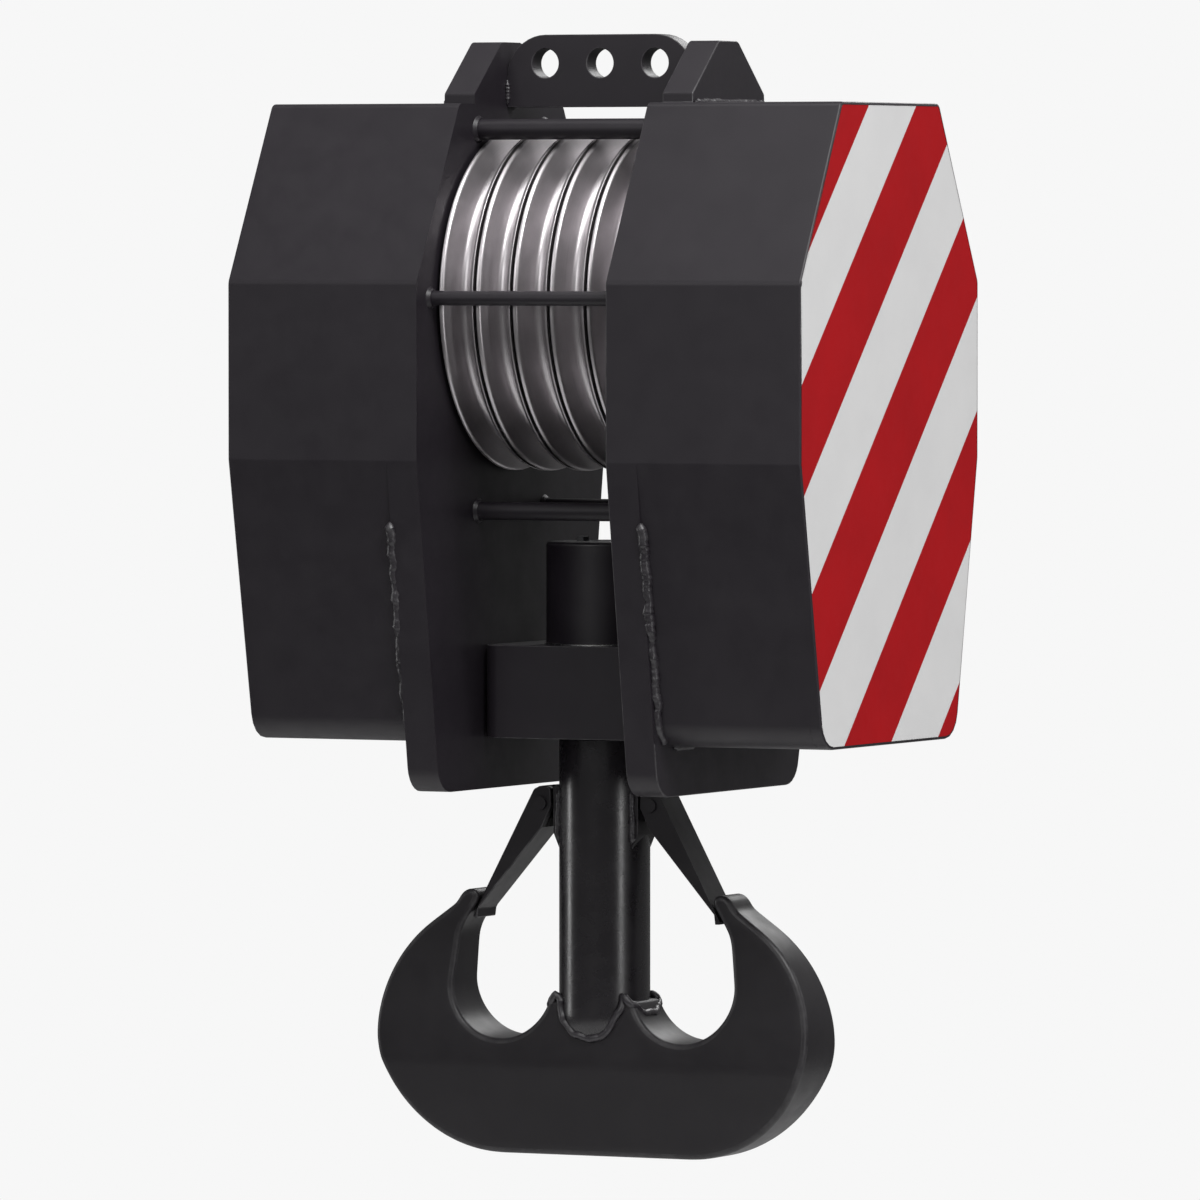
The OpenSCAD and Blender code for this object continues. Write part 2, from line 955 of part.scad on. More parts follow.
crosshead();
trunnion_caps();
cap_bolts();
thrust_race_lower();
thrust_balls();
hook();
hook_nut();
thrust_race_upper();
nut_lock_plate();
nut_lock_bolts();
latch_bracket_left();
latch_bracket_right();
latch_pin_left();
latch_pin_right();
latch_spring_left();
latch_spring_right();
latch_left();
latch_right();
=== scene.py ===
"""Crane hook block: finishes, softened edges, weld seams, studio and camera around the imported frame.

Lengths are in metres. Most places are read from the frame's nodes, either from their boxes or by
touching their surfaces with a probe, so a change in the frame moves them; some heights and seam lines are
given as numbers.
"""

from __future__ import annotations

import json
import logging
import math
from dataclasses import dataclass
from enum import Enum
from typing import Callable, Iterable, Sequence

import bmesh
import bpy
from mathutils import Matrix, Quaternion, Vector, geometry, noise
from mathutils.bvhtree import BVHTree

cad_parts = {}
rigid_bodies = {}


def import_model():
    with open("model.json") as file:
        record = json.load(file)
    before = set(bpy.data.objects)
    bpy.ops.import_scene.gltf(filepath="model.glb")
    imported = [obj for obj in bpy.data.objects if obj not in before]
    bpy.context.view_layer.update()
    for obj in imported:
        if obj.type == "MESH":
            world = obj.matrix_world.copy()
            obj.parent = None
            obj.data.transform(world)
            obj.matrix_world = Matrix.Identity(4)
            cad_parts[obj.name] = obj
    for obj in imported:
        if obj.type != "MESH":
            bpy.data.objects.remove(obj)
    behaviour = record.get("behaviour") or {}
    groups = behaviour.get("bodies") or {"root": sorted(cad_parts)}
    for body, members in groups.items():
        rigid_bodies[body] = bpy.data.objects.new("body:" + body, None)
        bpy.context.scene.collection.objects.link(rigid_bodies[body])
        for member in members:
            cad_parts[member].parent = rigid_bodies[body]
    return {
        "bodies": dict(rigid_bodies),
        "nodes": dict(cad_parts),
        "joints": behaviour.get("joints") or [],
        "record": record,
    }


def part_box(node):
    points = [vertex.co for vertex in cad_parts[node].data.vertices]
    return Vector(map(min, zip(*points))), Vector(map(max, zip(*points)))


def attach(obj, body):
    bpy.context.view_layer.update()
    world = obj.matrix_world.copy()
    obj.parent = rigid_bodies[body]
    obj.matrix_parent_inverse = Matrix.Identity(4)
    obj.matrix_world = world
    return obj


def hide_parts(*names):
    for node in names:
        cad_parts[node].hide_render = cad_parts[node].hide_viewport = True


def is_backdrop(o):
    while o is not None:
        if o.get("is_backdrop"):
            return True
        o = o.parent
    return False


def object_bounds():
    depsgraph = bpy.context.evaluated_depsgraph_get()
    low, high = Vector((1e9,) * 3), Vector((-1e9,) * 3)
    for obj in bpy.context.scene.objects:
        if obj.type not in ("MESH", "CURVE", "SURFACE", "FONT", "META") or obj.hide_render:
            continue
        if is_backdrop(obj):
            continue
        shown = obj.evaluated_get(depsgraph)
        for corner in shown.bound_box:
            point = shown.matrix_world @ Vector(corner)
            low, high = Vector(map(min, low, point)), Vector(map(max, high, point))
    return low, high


LOG = logging.getLogger("hook_block")
MM = 0.001
# Faces marked in this layer get lighter paint: worn paint and a painted edge highlight.
EDGE_LAYER = "edge"
SEED = 11
SHARP = math.radians(42.0)
SHEAVES = 5

Colour = tuple[float, float, float]
Profile = list[tuple[float, float]]
FlushRule = Callable[[Vector], bool]


class Slot(Enum):
    """Material slots of the record, each with a finish of its own."""

    FRAME = "frame_paint"
    STRIPE = "stripe_paint"
    HOOK = "hook_paint"
    NUT = "nut_paint"
    SHEAVE = "sheave_steel"
    BEARING = "bearing_steel"
    FASTENER = "fastener_steel"
    SPRING = "spring_steel"
    BALLAST = "ballast_steel"
    BRONZE = "bronze"


class Side(Enum):
    """Left or right half of the block, with its direction along X."""

    LEFT = -1
    RIGHT = 1

    @property
    def word(self) -> str:
        """The side's name as the frame's nodes spell it."""
        return self.name.lower()


class End(Enum):
    """Front or back of the block, with its direction along Y."""

    FRONT = -1
    BACK = 1

    @property
    def word(self) -> str:
        """The end's name as the frame's nodes spell it."""
        return self.name.lower()


# ---------------------------------------------------------------- finishes


class Board:
    """The node tree of one material, with short ways to add and wire its nodes."""

    def __init__(self, name: str) -> None:
        """Starts an empty tree that holds a Principled shader and its output.

        Args:
            name: The material's name.
        """
        self.material = bpy.data.materials.new(name)
        self.material.use_nodes = True
        self.tree = self.material.node_tree
        self.tree.nodes.clear()
        self.shader = self.tree.nodes.new("ShaderNodeBsdfPrincipled")
        output = self.tree.nodes.new("ShaderNodeOutputMaterial")
        self.wire(self.shader.outputs["BSDF"], output.inputs["Surface"])
        self.place = self.tree.nodes.new("ShaderNodeTexCoord").outputs["Object"]

    def wire(self, source: bpy.types.NodeSocket, target: bpy.types.NodeSocket) -> None:
        """Links an output to an input."""
        self.tree.links.new(source, target)

    def feed(self, target: bpy.types.NodeSocket, value: object) -> None:
        """Gives an input either a link or a fixed value.

        Args:
            target: The input.
            value: An output to link, or a number, colour or vector.
        """
        if isinstance(value, bpy.types.NodeSocket):
            self.wire(value, target)
        else:
            target.default_value = value

    def reckon(self, operation: str, *values: object) -> bpy.types.NodeSocket:
        """Adds a Math node.

        Args:
            operation: The node's operation, such as MULTIPLY.
            values: Its inputs in order.

        Returns:
            The result's socket.
        """
        node = self.tree.nodes.new("ShaderNodeMath")
        node.operation = operation
        for socket, value in zip(node.inputs, values):
            self.feed(socket, value)
        return node.outputs[0]

    def axes(self) -> list[bpy.types.NodeSocket]:
        """Splits the object's own coordinates.

        Returns:
            X, Y and Z as three sockets.
        """
        node = self.tree.nodes.new("ShaderNodeSeparateXYZ")
        self.wire(self.place, node.inputs[0])
        return list(node.outputs)

    def vector(self, *parts: object) -> bpy.types.NodeSocket:
        """Joins three numbers or sockets into one vector.

        Args:
            parts: X, Y and Z.

        Returns:
            The vector's socket.
        """
        node = self.tree.nodes.new("ShaderNodeCombineXYZ")
        for socket, value in zip(node.inputs, parts):
            self.feed(socket, value)
        return node.outputs[0]

    def radius(self, one: bpy.types.NodeSocket, other: bpy.types.NodeSocket) -> bpy.types.NodeSocket:
        """Distance from an axis.

        Args:
            one: Distance across the axis one way.
            other: Distance across it the other way.

        Returns:
            The root of the sum of their squares.
        """
        squares = [self.reckon("MULTIPLY", part, part) for part in (one, other)]
        return self.reckon("SQRT", self.reckon("ADD", *squares))

    def speckle(
        self,
        scale: float,
        detail: float = 4.0,
        rough: float = 0.55,
        place: bpy.types.NodeSocket | None = None,
    ) -> bpy.types.NodeSocket:
        """Adds a noise texture.

        Args:
            scale: Features per metre.
            detail: Octaves.
            rough: How much the fine octaves count.
            place: Coordinates, the object's own if none are given.

        Returns:
            The noise value, about 0.5 on average.
        """
        node = self.tree.nodes.new("ShaderNodeTexNoise")
        node.inputs["Scale"].default_value = scale
        node.inputs["Detail"].default_value = detail
        node.inputs["Roughness"].default_value = rough
        self.wire(place or self.place, node.inputs["Vector"])
        return node.outputs[0]

    def remap(
        self,
        value: bpy.types.NodeSocket,
        source: tuple[float, float],
        target: tuple[float, float] = (0.0, 1.0),
    ) -> bpy.types.NodeSocket:
        """Stretches a value from one range to another and clamps it.

        Args:
            value: The value.
            source: The range that it comes from.
            target: The range that it goes to.

        Returns:
            The stretched value.
        """
        node = self.tree.nodes.new("ShaderNodeMapRange")
        numbers = (*source, *target)
        for socket, number in zip(list(node.inputs)[1:5], numbers):
            socket.default_value = number
        self.wire(value, node.inputs[0])
        return node.outputs[0]

    def blend(self, share: bpy.types.NodeSocket, low: object, high: object) -> bpy.types.NodeSocket:
        """Mixes two colours.

        Args:
            share: 0 gives low, 1 gives high.
            low: Colour or socket.
            high: Colour or socket.

        Returns:
            The mixed colour.
        """
        node = self.tree.nodes.new("ShaderNodeMix")
        node.data_type = "RGBA"
        self.wire(share, node.inputs[0])
        for socket, value in zip((node.inputs[6], node.inputs[7]), (low, high)):
            self.feed(socket, (*value, 1.0) if isinstance(value, tuple) else value)
        return node.outputs[2]

    def relief(self, layers: Iterable[tuple[bpy.types.NodeSocket, float]]) -> None:
        """Stacks bump layers on the shader's normal.

        Args:
            layers: Height and depth in metres of each layer, coarse first.
        """
        normal = None
        for height, depth in layers:
            node = self.tree.nodes.new("ShaderNodeBump")
            node.inputs["Strength"].default_value = 1.0
            node.inputs["Distance"].default_value = depth
            self.wire(height, node.inputs["Height"])
            if normal is not None:
                self.wire(normal, node.inputs["Normal"])
            normal = node.outputs[0]
        if normal is not None:
            self.wire(normal, self.shader.inputs["Normal"])

    def worn_edges(self, share: float) -> bpy.types.NodeSocket:
        """Lighter paint on softened edges, in uneven patches: worn paint and a painted highlight along
        the edges.

        Args:
            share: Greatest share of lighter edge paint, for worn paint and a painted highlight, from 0 to
                1.

        Returns:
            The lighter edge paint, worn paint and painted highlight, from 0 to share.
        """
        node = self.tree.nodes.new("ShaderNodeAttribute")
        node.attribute_name = EDGE_LAYER
        patches = self.remap(self.speckle(38.0, 6.0, 0.65), (0.40, 0.62), (0.15, 1.0))
        return self.reckon("MULTIPLY", self.reckon("MULTIPLY", node.outputs["Fac"], patches), share)


@dataclass(frozen=True)
class SatinPaint:
    """Sprayed satin paint with a faint mottle, a fine grain and lighter softened edges: worn paint and a
    painted highlight.
    """

    name: str
    tone: Colour = (0.0120, 0.0097, 0.0131)
    mottle: Colour = (0.0140, 0.0114, 0.0151)
    rubbed: Colour = (0.085, 0.083, 0.086)
    roughness: float = 0.44
    # Lighter colour and share for softened edges: worn paint and a painted edge highlight.
    specular: float = 0.42
    wear: float = 0.55
    grain_depth: float = 0.00006
    wave_depth: float = 0.00014

    def build(self) -> bpy.types.Material:
        """Makes the material.

        Returns:
            The material.
        """
        board = Board(self.name)
        tint = board.blend(board.remap(board.speckle(4.5, 6.0), (0.38, 0.62)), self.tone, self.mottle)
        # Softened edges are painted lighter: worn paint and a painted highlight.
        colour = board.blend(board.worn_edges(self.wear), tint, self.rubbed)
        board.wire(colour, board.shader.inputs["Base Color"])
        self.coat(board)
        return board.material

    def coat(self, board: Board) -> None:
        """Sets the gloss and the relief that every paint here shares.

        Args:
            board: The material being made.
        """
        cloud = board.speckle(22.0, 8.0, 0.62)
        low, high = self.roughness - 0.03, self.roughness + 0.05
        board.wire(board.remap(cloud, (0.35, 0.65), (low, high)), board.shader.inputs["Roughness"])
        board.shader.inputs["Specular IOR Level"].default_value = self.specular
        board.relief([
            (board.speckle(9.0, 2.0), self.wave_depth),
            (board.speckle(620.0, 2.0), self.grain_depth),
        ])


@dataclass(frozen=True)
class StripedPaint(SatinPaint):
    """White paint with slanted red warning bands that climb to the right on both covers."""

    red: Colour = (0.345, 0.0045, 0.0075)
    deep_red: Colour = (0.310, 0.0040, 0.0068)
    white: Colour = (0.610, 0.608, 0.608)
    grey: Colour = (0.585, 0.583, 0.585)
    lean: float = 1.014
    first_band: float = -0.2163
    band_width: float = 0.1872
    pitch: float = 0.3743
    soft: float = 0.0008

    def build(self) -> bpy.types.Material:
        """Makes the material.

        Returns:
            The material.
        """
        board = Board(self.name)
        across, depth, height = board.axes()
        side = board.reckon("MULTIPLY", board.reckon("SIGN", across), self.lean)
        slant = board.reckon("SUBTRACT", board.reckon("MULTIPLY", depth, side), height)
        ragged = board.reckon("MULTIPLY", board.speckle(140.0, 3.0), self.soft)
        half = self.band_width / 2
        edge = board.reckon("ADD", slant, ragged)
        from_middle = board.reckon("SUBTRACT", edge, self.first_band + half)
        steps = board.reckon("DIVIDE", from_middle, self.pitch)
        distance = board.reckon("MULTIPLY", board.reckon("PINGPONG", steps, 0.5), self.pitch)
        band = board.remap(distance, (half - self.soft, half + self.soft), (1.0, 0.0))
        patches = board.remap(board.speckle(6.0, 7.0, 0.6), (0.38, 0.66))
        light = board.blend(patches, self.white, self.grey)
        strong = board.blend(patches, self.red, self.deep_red)
        board.wire(board.blend(band, light, strong), board.shader.inputs["Base Color"])
        self.coat(board)
        return board.material


@dataclass(frozen=True)
class TurnedSteel:
    """Bare steel with the fine rings that a lathe leaves, dulled by oil in patches."""

    name: str
    tone: Colour = (0.530, 0.505, 0.520)
    dull: Colour = (0.390, 0.370, 0.382)
    roughness: float = 0.38
    ring_scale: float = 900.0
    ring_depth: float = 0.00004

    def build(self) -> bpy.types.Material:
        """Makes the material.

        Returns:
            The material.
        """
        board = Board(self.name)
        across, depth, height = board.axes()
        turned = board.vector(across, board.radius(depth, height), 0.0)
        rings = board.speckle(self.ring_scale, 3.0, 0.6, turned)
        film = board.speckle(11.0, 6.0, 0.6)
        oiled = board.remap(film, (0.35, 0.68))
        share = board.reckon("MULTIPLY", oiled, board.remap(rings, (0.3, 0.7), (0.5, 1.0)))
        board.wire(board.blend(share, self.tone, self.dull), board.shader.inputs["Base Color"])
        board.shader.inputs["Metallic"].default_value = 1.0
        gloss = board.remap(rings, (0.3, 0.7), (self.roughness - 0.05, self.roughness + 0.07))
        board.wire(gloss, board.shader.inputs["Roughness"])
        board.relief([(rings, self.ring_depth)])
        return board.material


@dataclass(frozen=True)
class PlainMetal:
    """Machined or drawn metal without rings: small parts, balls, springs and bushes."""

    name: str
    tone: Colour
    stain: Colour
    roughness: float = 0.36
    scratch_scale: float = 260.0
    scratch_depth: float = 0.00003
    metallic: float = 1.0

    def build(self) -> bpy.types.Material:
        """Makes the material.

        Returns:
            The material.
        """
        board = Board(self.name)
        stain = board.remap(board.speckle(30.0, 7.0, 0.65), (0.42, 0.66))
        board.wire(board.blend(stain, self.tone, self.stain), board.shader.inputs["Base Color"])
        board.shader.inputs["Metallic"].default_value = self.metallic
        fine = board.speckle(self.scratch_scale, 4.0, 0.6)
        gloss = board.remap(fine, (0.3, 0.7), (self.roughness - 0.06, self.roughness + 0.08))
        board.wire(gloss, board.shader.inputs["Roughness"])
        board.relief([(fine, self.scratch_depth)])
        return board.material


class FinishRack:
    """One made-up finish per material slot, and the paint for weld beads."""

    def __init__(self) -> None:
        """Makes every finish once."""
        black = {"tone": (0.0080, 0.0067, 0.0084), "mottle": (0.0103, 0.0088, 0.0108)}
        finishes = {
            Slot.FRAME: SatinPaint("charcoal_satin"),
            Slot.STRIPE: StripedPaint("warning_stripes", roughness=0.55, specular=0.10, wear=0.0),
            Slot.HOOK: SatinPaint(
                "forging_black", **black, roughness=0.41, specular=0.36, wave_depth=0.0004
            ),
            Slot.NUT: SatinPaint("nut_black", roughness=0.38, wear=0.4),
            Slot.SHEAVE: TurnedSteel("turned_steel"),
            Slot.BEARING: PlainMetal("ground_steel", (0.60, 0.61, 0.62), (0.48, 0.47, 0.45), 0.22),
            Slot.FASTENER: PlainMetal("dark_zinc", (0.20, 0.20, 0.21), (0.13, 0.13, 0.13), 0.42),
            Slot.SPRING: PlainMetal("drawn_wire", (0.24, 0.24, 0.25), (0.16, 0.15, 0.14), 0.30),
            Slot.BALLAST: PlainMetal("rolled_plate", (0.14, 0.14, 0.145), (0.10, 0.075, 0.06), 0.6, 90.0),
            Slot.BRONZE: PlainMetal("turned_bronze", (0.55, 0.36, 0.16), (0.38, 0.24, 0.11), 0.32),
        }
        self.finishes = {slot: finish.build() for slot, finish in finishes.items()}
        self.shank_paint = SatinPaint(
            "turned_shank_black", **black, roughness=0.26, specular=0.62, wear=0.0, wave_depth=0.0001
        ).build()
        # Weld beads are painted lighter in patches: worn paint and a painted highlight.
        self.weld_paint = SatinPaint(
            "painted_weld", roughness=0.34, specular=0.5, wear=0.7, wave_depth=0.0, grain_depth=0.00015
        ).build()

    def dress(self, piece: bpy.types.Object, slot: Slot) -> bpy.types.Object:
        """Gives a new piece a slot's finish.

        Args:
            piece: The piece, with no material yet.
            slot: The record's slot.

        Returns:
            The same piece.
        """
        piece.data.materials.append(self.finishes[slot])
        return piece

    def dress_node(self, node: bpy.types.Object, slot: Slot) -> None:
        """Gives a carried-over node a slot's finish in place of its plain colour.

        Args:
            node: The frame's own object.
            slot: The record's slot.
        """
        if not node.material_slots:
            node.data.materials.append(self.finishes[slot])
        for place in node.material_slots:
            place.material = self.finishes[slot]


# ---------------------------------------------------------------- mesh work


class Probe:
    """Touches a node's surface from outside to find where it is."""

    def __init__(self, *names: str) -> None:
        """Reads the nodes' surfaces.

        Args:
            names: Names of the nodes that count as one surface.
        """
        self.trees = []
        for name in names:
            mesh = bpy.data.objects[name].data
            corners = [v.co.copy() for v in mesh.vertices]
            faces = [list(p.vertices) for p in mesh.polygons]
            self.trees.append(BVHTree.FromPolygons(corners, faces))

    def touch(self, start: Sequence[float], way: Sequence[float]) -> Vector | None:
        """First point met from start along way.

        Args:
            start: Where the finger starts.
            way: The direction that it moves in.

        Returns:
            The point, or None if nothing is met.
        """
        hits = [tree.ray_cast(Vector(start), Vector(way)) for tree in self.trees]
        met = [(hit[3], hit[0]) for hit in hits if hit[0] is not None]
        return min(met, key=lambda pair: pair[0])[1] if met else None

    def facing(self, x: float, z: float, end: End, far: float = 0.5) -> Vector | None:
        """First point met from in front or from behind.

        Args:
            x: Distance from the middle.
            z: Height.
            end: Front or back.
            far: Where the finger starts, outside the surface.

        Returns:
            The point, or None if nothing is met.
        """
        return self.touch((x, end.value * far, z), (0.0, -end.value, 0.0))


def node_mesh(name: str) -> bmesh.types.BMesh:
    """Copies a node's mesh with its split corners joined and its flat faces merged.

    Args:
        name: The node.

    Returns:
        The copy.
    """
    bm = bmesh.new()
    bm.from_mesh(bpy.data.objects[name].data)
    bmesh.ops.remove_doubles(bm, verts=bm.verts, dist=2e-5)
    bmesh.ops.dissolve_limit(bm, angle_limit=math.radians(0.5), verts=bm.verts, edges=bm.edges)
    return bm


def outer_face(node: str) -> float:
    """Distance of a node's outer face from the middle of the block."""
    low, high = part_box(node)
    return max(abs(low.x), abs(high.x))


def spread(start: float, stop: float, count: int) -> list[float]:
    """Numbers at even steps from start to stop, both among them."""
    return [start + (stop - start) * i / (count - 1) for i in range(count)]


def nowhere(spot: Vector) -> bool:
    """The flush rule of a piece that has no flush joint."""
    return False


def soften(
    bm: bmesh.types.BMesh,
    width: float,
    steps: int = 3,
    least_deg: float = 32.0,
    flush: FlushRule = nowhere,
) -> None:
    """Rounds the sharp edges and marks the rounded faces for lighter paint: worn paint and a painted edge
    highlight.

    Args:
        bm: The mesh.
        width: Width of the rounding.
        steps: Faces across it.
        least_deg: Edges that turn less than this stay as they are.
        flush: Says whether an edge's middle lies on a joint ground flush, which stays sharp.
    """
    layer = bm.faces.layers.float.get(EDGE_LAYER) or bm.faces.layers.float.new(EDGE_LAYER)
    limit = math.radians(least_deg)
    sharp = [e for e in bm.edges if len(e.link_faces) == 2 and e.calc_face_angle(0.0) > limit]
    sharp = [e for e in sharp if not flush((e.verts[0].co + e.verts[1].co) / 2)]
    made = bmesh.ops.bevel(
        bm, geom=sharp, offset=width, segments=steps, profile=0.5, affect="EDGES", clamp_overlap=True
    )
    for face in made["faces"]:
        face[layer] = 1.0


def put_in_scene(name: str, data: bpy.types.ID) -> bpy.types.Object:
    """Makes an object of some data and links it to the scene.

    Args:
        name: The object's name.
        data: Its mesh, camera or light.

    Returns:
        The object.
    """
    item = bpy.data.objects.new(name, data)
    bpy.context.scene.collection.objects.link(item)
    return item


def add_piece(
    name: str,
    bm: bmesh.types.BMesh,
    body: str,
    stands_for: Sequence[str] = (),
    weighted: bool = True,
) -> bpy.types.Object:
    """Turns a mesh into a smooth-shaded piece that rides on a body.

    Args:
        name: The piece's name.
        bm: Its mesh, which is freed.
        body: The body that it moves with.
        stands_for: Nodes that it replaces.
        weighted: Whether large faces keep flat shading beside small ones.

    Returns:
        The piece.
    """
    bmesh.ops.recalc_face_normals(bm, faces=bm.faces)
    for edge in bm.edges:
        edge.smooth = edge.calc_face_angle(0.0) < SHARP
    mesh = bpy.data.meshes.new(name)
    bm.to_mesh(mesh)
    bm.free()
    mesh.polygons.foreach_set("use_smooth", [True] * len(mesh.polygons))
    piece = put_in_scene(name, mesh)
    if weighted:
        shading = piece.modifiers.new("even_shading", "WEIGHTED_NORMAL")
        shading.mode = "FACE_AREA"
        shading.weight = 60
        shading.keep_sharp = True
    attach(piece, body)
    if stands_for:
        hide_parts(*stands_for)
    LOG.info("%s: %d faces, rides on %s", name, len(mesh.polygons), body)
    return piece


def bridge(
    bm: bmesh.types.BMesh, rings: list[list[bmesh.types.BMVert]], closed: bool = False
) -> list[bmesh.types.BMFace]:
    """Joins closed rings of corners by faces.

    Args:
        bm: The mesh.
        rings: The rings in order, each with as many corners as the others.
        closed: Whether the last ring joins the first.

    Returns:
        The faces, ring after ring.
    """
    faces = []
    following = rings[1:] + rings[:1] if closed else rings[1:]
    for here, there in zip(rings, following):
        for j in range(len(here)):
            k = (j + 1) % len(here)
            faces.append(bm.faces.new((here[j], here[k], there[k], there[j])))
    return faces


def lathe(profile: Profile, centre: Vector, turns: int = 144) -> bmesh.types.BMesh:
    """Turns a closed profile round a line along X.

    Args:
        profile: Pairs of distance along X and radius, in order round the section.
        centre: Where the profile's origin goes.
        turns: Steps round the circle.

    Returns:
        The turned ring.
    """
    bm = bmesh.new()
    rings = []
    for i in range(turns):
        angle = math.tau * i / turns
        y, z = math.cos(angle), math.sin(angle)
        rings.append([bm.verts.new(centre + Vector((x, r * y, r * z))) for x, r in profile])
    bridge(bm, rings, closed=True)
    return bm


def smooth_path(points: Sequence[Vector], closed: bool, step: float) -> list[Vector]:
    """Draws a smooth line through points, with even steps.

    Args:
        points: Points on the line.
        closed: Whether it comes back to its start.
        step: Distance between the points returned.

    Returns:
        Points along the line.
    """
    count = len(points)
    spans = count if closed else count - 1
    dense: list[Vector] = []
    for i in range(spans):
        places = range(i - 1, i + 3)
        around = [points[k % count if closed else min(max(k, 0), count - 1)] for k in places]
        pieces = max(2, math.ceil((around[2] - around[1]).length / step))
        for j in range(pieces):
            dense.append(catmull(around, j / pieces))
    if not closed:
        dense.append(points[-1].copy())
    return dense


def even_loop(corners: Sequence[Vector], step: float, passes: int) -> list[Vector]:
    """Divides a closed outline into even steps and relaxes its corners a little.

    Args:
        corners: Corners of the outline.
        step: Greatest distance between the points returned.
        passes: How often each point moves towards its neighbours.

    Returns:
        Points round the outline.
    """
    lengths = [(corners[i - 1] - corner).length for i, corner in enumerate(corners)]
    whole = sum(lengths)
    count = math.ceil(whole / step)
    points: list[Vector] = []
    run, i = 0.0, 0
    for k in range(count):
        target = whole * k / count
        while run + lengths[i] < target:
            run += lengths[i]
            i += 1
        points.append(corners[i - 1].lerp(corners[i], (target - run) / max(lengths[i], 1e-9)))
    for _ in range(passes):
        middles = [points[k - 1] + points[(k + 1) % count] for k in range(count)]
        points = [point * 0.5 + middle * 0.25 for point, middle in zip(points, middles)]
    return points


def catmull(p: Sequence[Vector], t: float) -> Vector:
    """Point on the smooth span between the middle two of four points.

    Args:
        p: The four points.
        t: How far along the span, from 0 at p[1] to 1 at p[2].

    Returns:
        The point.
    """
    a = 2 * p[1]
    b = p[2] - p[0]
    c = 2 * p[0] - 5 * p[1] + 4 * p[2] - p[3]
    d = 3 * p[1] - p[0] - 3 * p[2] + p[3]
    return 0.5 * (a + b * t + c * t * t + d * t * t * t)


@dataclass
class WeldBead:
    """A weld seam laid by hand: a rippled bead that wanders a little along its line."""

    name: str
    points: list[Vector]
    body: str
    radius: float = 0.005
    closed: bool = False
    ripple: float = 0.16
    pitch: float = 0.0055
    wander: float = 0.0012
    sides: int = 10
    # Share of lighter paint on the bead: worn paint and a painted highlight.
    rub: float = 0.35
    seed: float = 0.0

    def build(self, rack: FinishRack, slot: Slot) -> bpy.types.Object:
        """Lays the bead.

        Args:
            rack: The finishes.
            slot: The slot of the piece that it joins; not used.

        Returns:
            The bead.
        """
        line = smooth_path(self.points, self.closed, self.pitch / 4)
        bm = bmesh.new()
        layer = bm.faces.layers.float.new(EDGE_LAYER)
        ways, sides = self.frames(line)
        rings = [self.ring(bm, line, i, ways[i], sides[i]) for i in range(len(line))]
        # Every bead face is painted lighter in patches: worn paint and a painted highlight.
        for face in bridge(bm, rings, self.closed):
            face[layer] = self.rub
        if not self.closed:
            for ring in (rings[0], rings[-1]):
                bm.faces.new(ring)
        piece = add_piece(self.name, bm, self.body, weighted=False)
        piece.data.materials.append(rack.weld_paint)
        return piece

    def frames(self, line: list[Vector]) -> tuple[list[Vector], list[Vector]]:
        """Directions along and across the line, carried from point to point without a twist.

        Args:
            line: The points of its line.

        Returns:
            Directions along the line, and directions across it.
        """
        count = len(line)
        ways = []
        for i in range(count):
            before = line[(i - 1) % count] if self.closed else line[max(i - 1, 0)]
            after = line[(i + 1) % count] if self.closed else line[min(i + 1, count - 1)]
            ways.append((after - before).normalized())
        sides = [ways[0].orthogonal().normalized()]
        for way in ways[1:]:
            sides.append((sides[-1] - way * sides[-1].dot(way)).normalized())
        if self.closed:
            last = (sides[-1] - ways[0] * sides[-1].dot(ways[0])).normalized()
            turn = math.atan2(last.cross(sides[0]).dot(ways[0]), last.dot(sides[0]))
            for i in range(count):
                sides[i] = Quaternion(ways[i], turn * i / count) @ sides[i]
        return ways, sides

    def ring(
        self, bm: bmesh.types.BMesh, line: list[Vector], i: int, along: Vector, side: Vector
    ) -> list[bmesh.types.BMVert]:
        """Adds the bead's section at one point of its line.

        Args:
            bm: The bead's mesh.
            line: The points of its line.
            i: Which point.
            along: Direction of the line there.
            side: Direction across it.

        Returns:
            The section's corners.
        """
        count = len(line)
        up = side.cross(along)
        run = i * self.pitch / 4
        size = self.swell(run, count * self.pitch / 4)
        shake = Vector(noise.noise_vector(Vector((run * 45.0, self.seed, 3.1)))) * self.wander
        corners = []
        for j in range(self.sides):
            angle = math.tau * j / self.sides
            rough = 1.0 + 0.10 * noise.noise(Vector((run * 260.0, j * 1.7, self.seed)))
            reach = self.radius * size * rough
            offset = side * math.cos(angle) * reach + up * math.sin(angle) * reach
            corners.append(bm.verts.new(line[i] + shake + offset))
        return corners

    def swell(self, run: float, whole: float) -> float:
        """Relative thickness of the bead after some length.

        Args:
            run: Length so far.
            whole: The bead's whole length.

        Returns:
            About 1, less at open ends.
        """
        ripple = 1.0 - self.ripple * abs(math.sin(math.pi * run / self.pitch))
        slow = 1.0 + 0.22 * noise.noise(Vector((run * 28.0, self.seed + 7.0, 0.0)))
        if self.closed:
            return ripple * slow
        taper = min(1.0, (run + 0.002) / 0.012, (whole - run + 0.002) / 0.012)
        return ripple * slow * max(taper, 0.2)


# ---------------------------------------------------------------- sub-assemblies


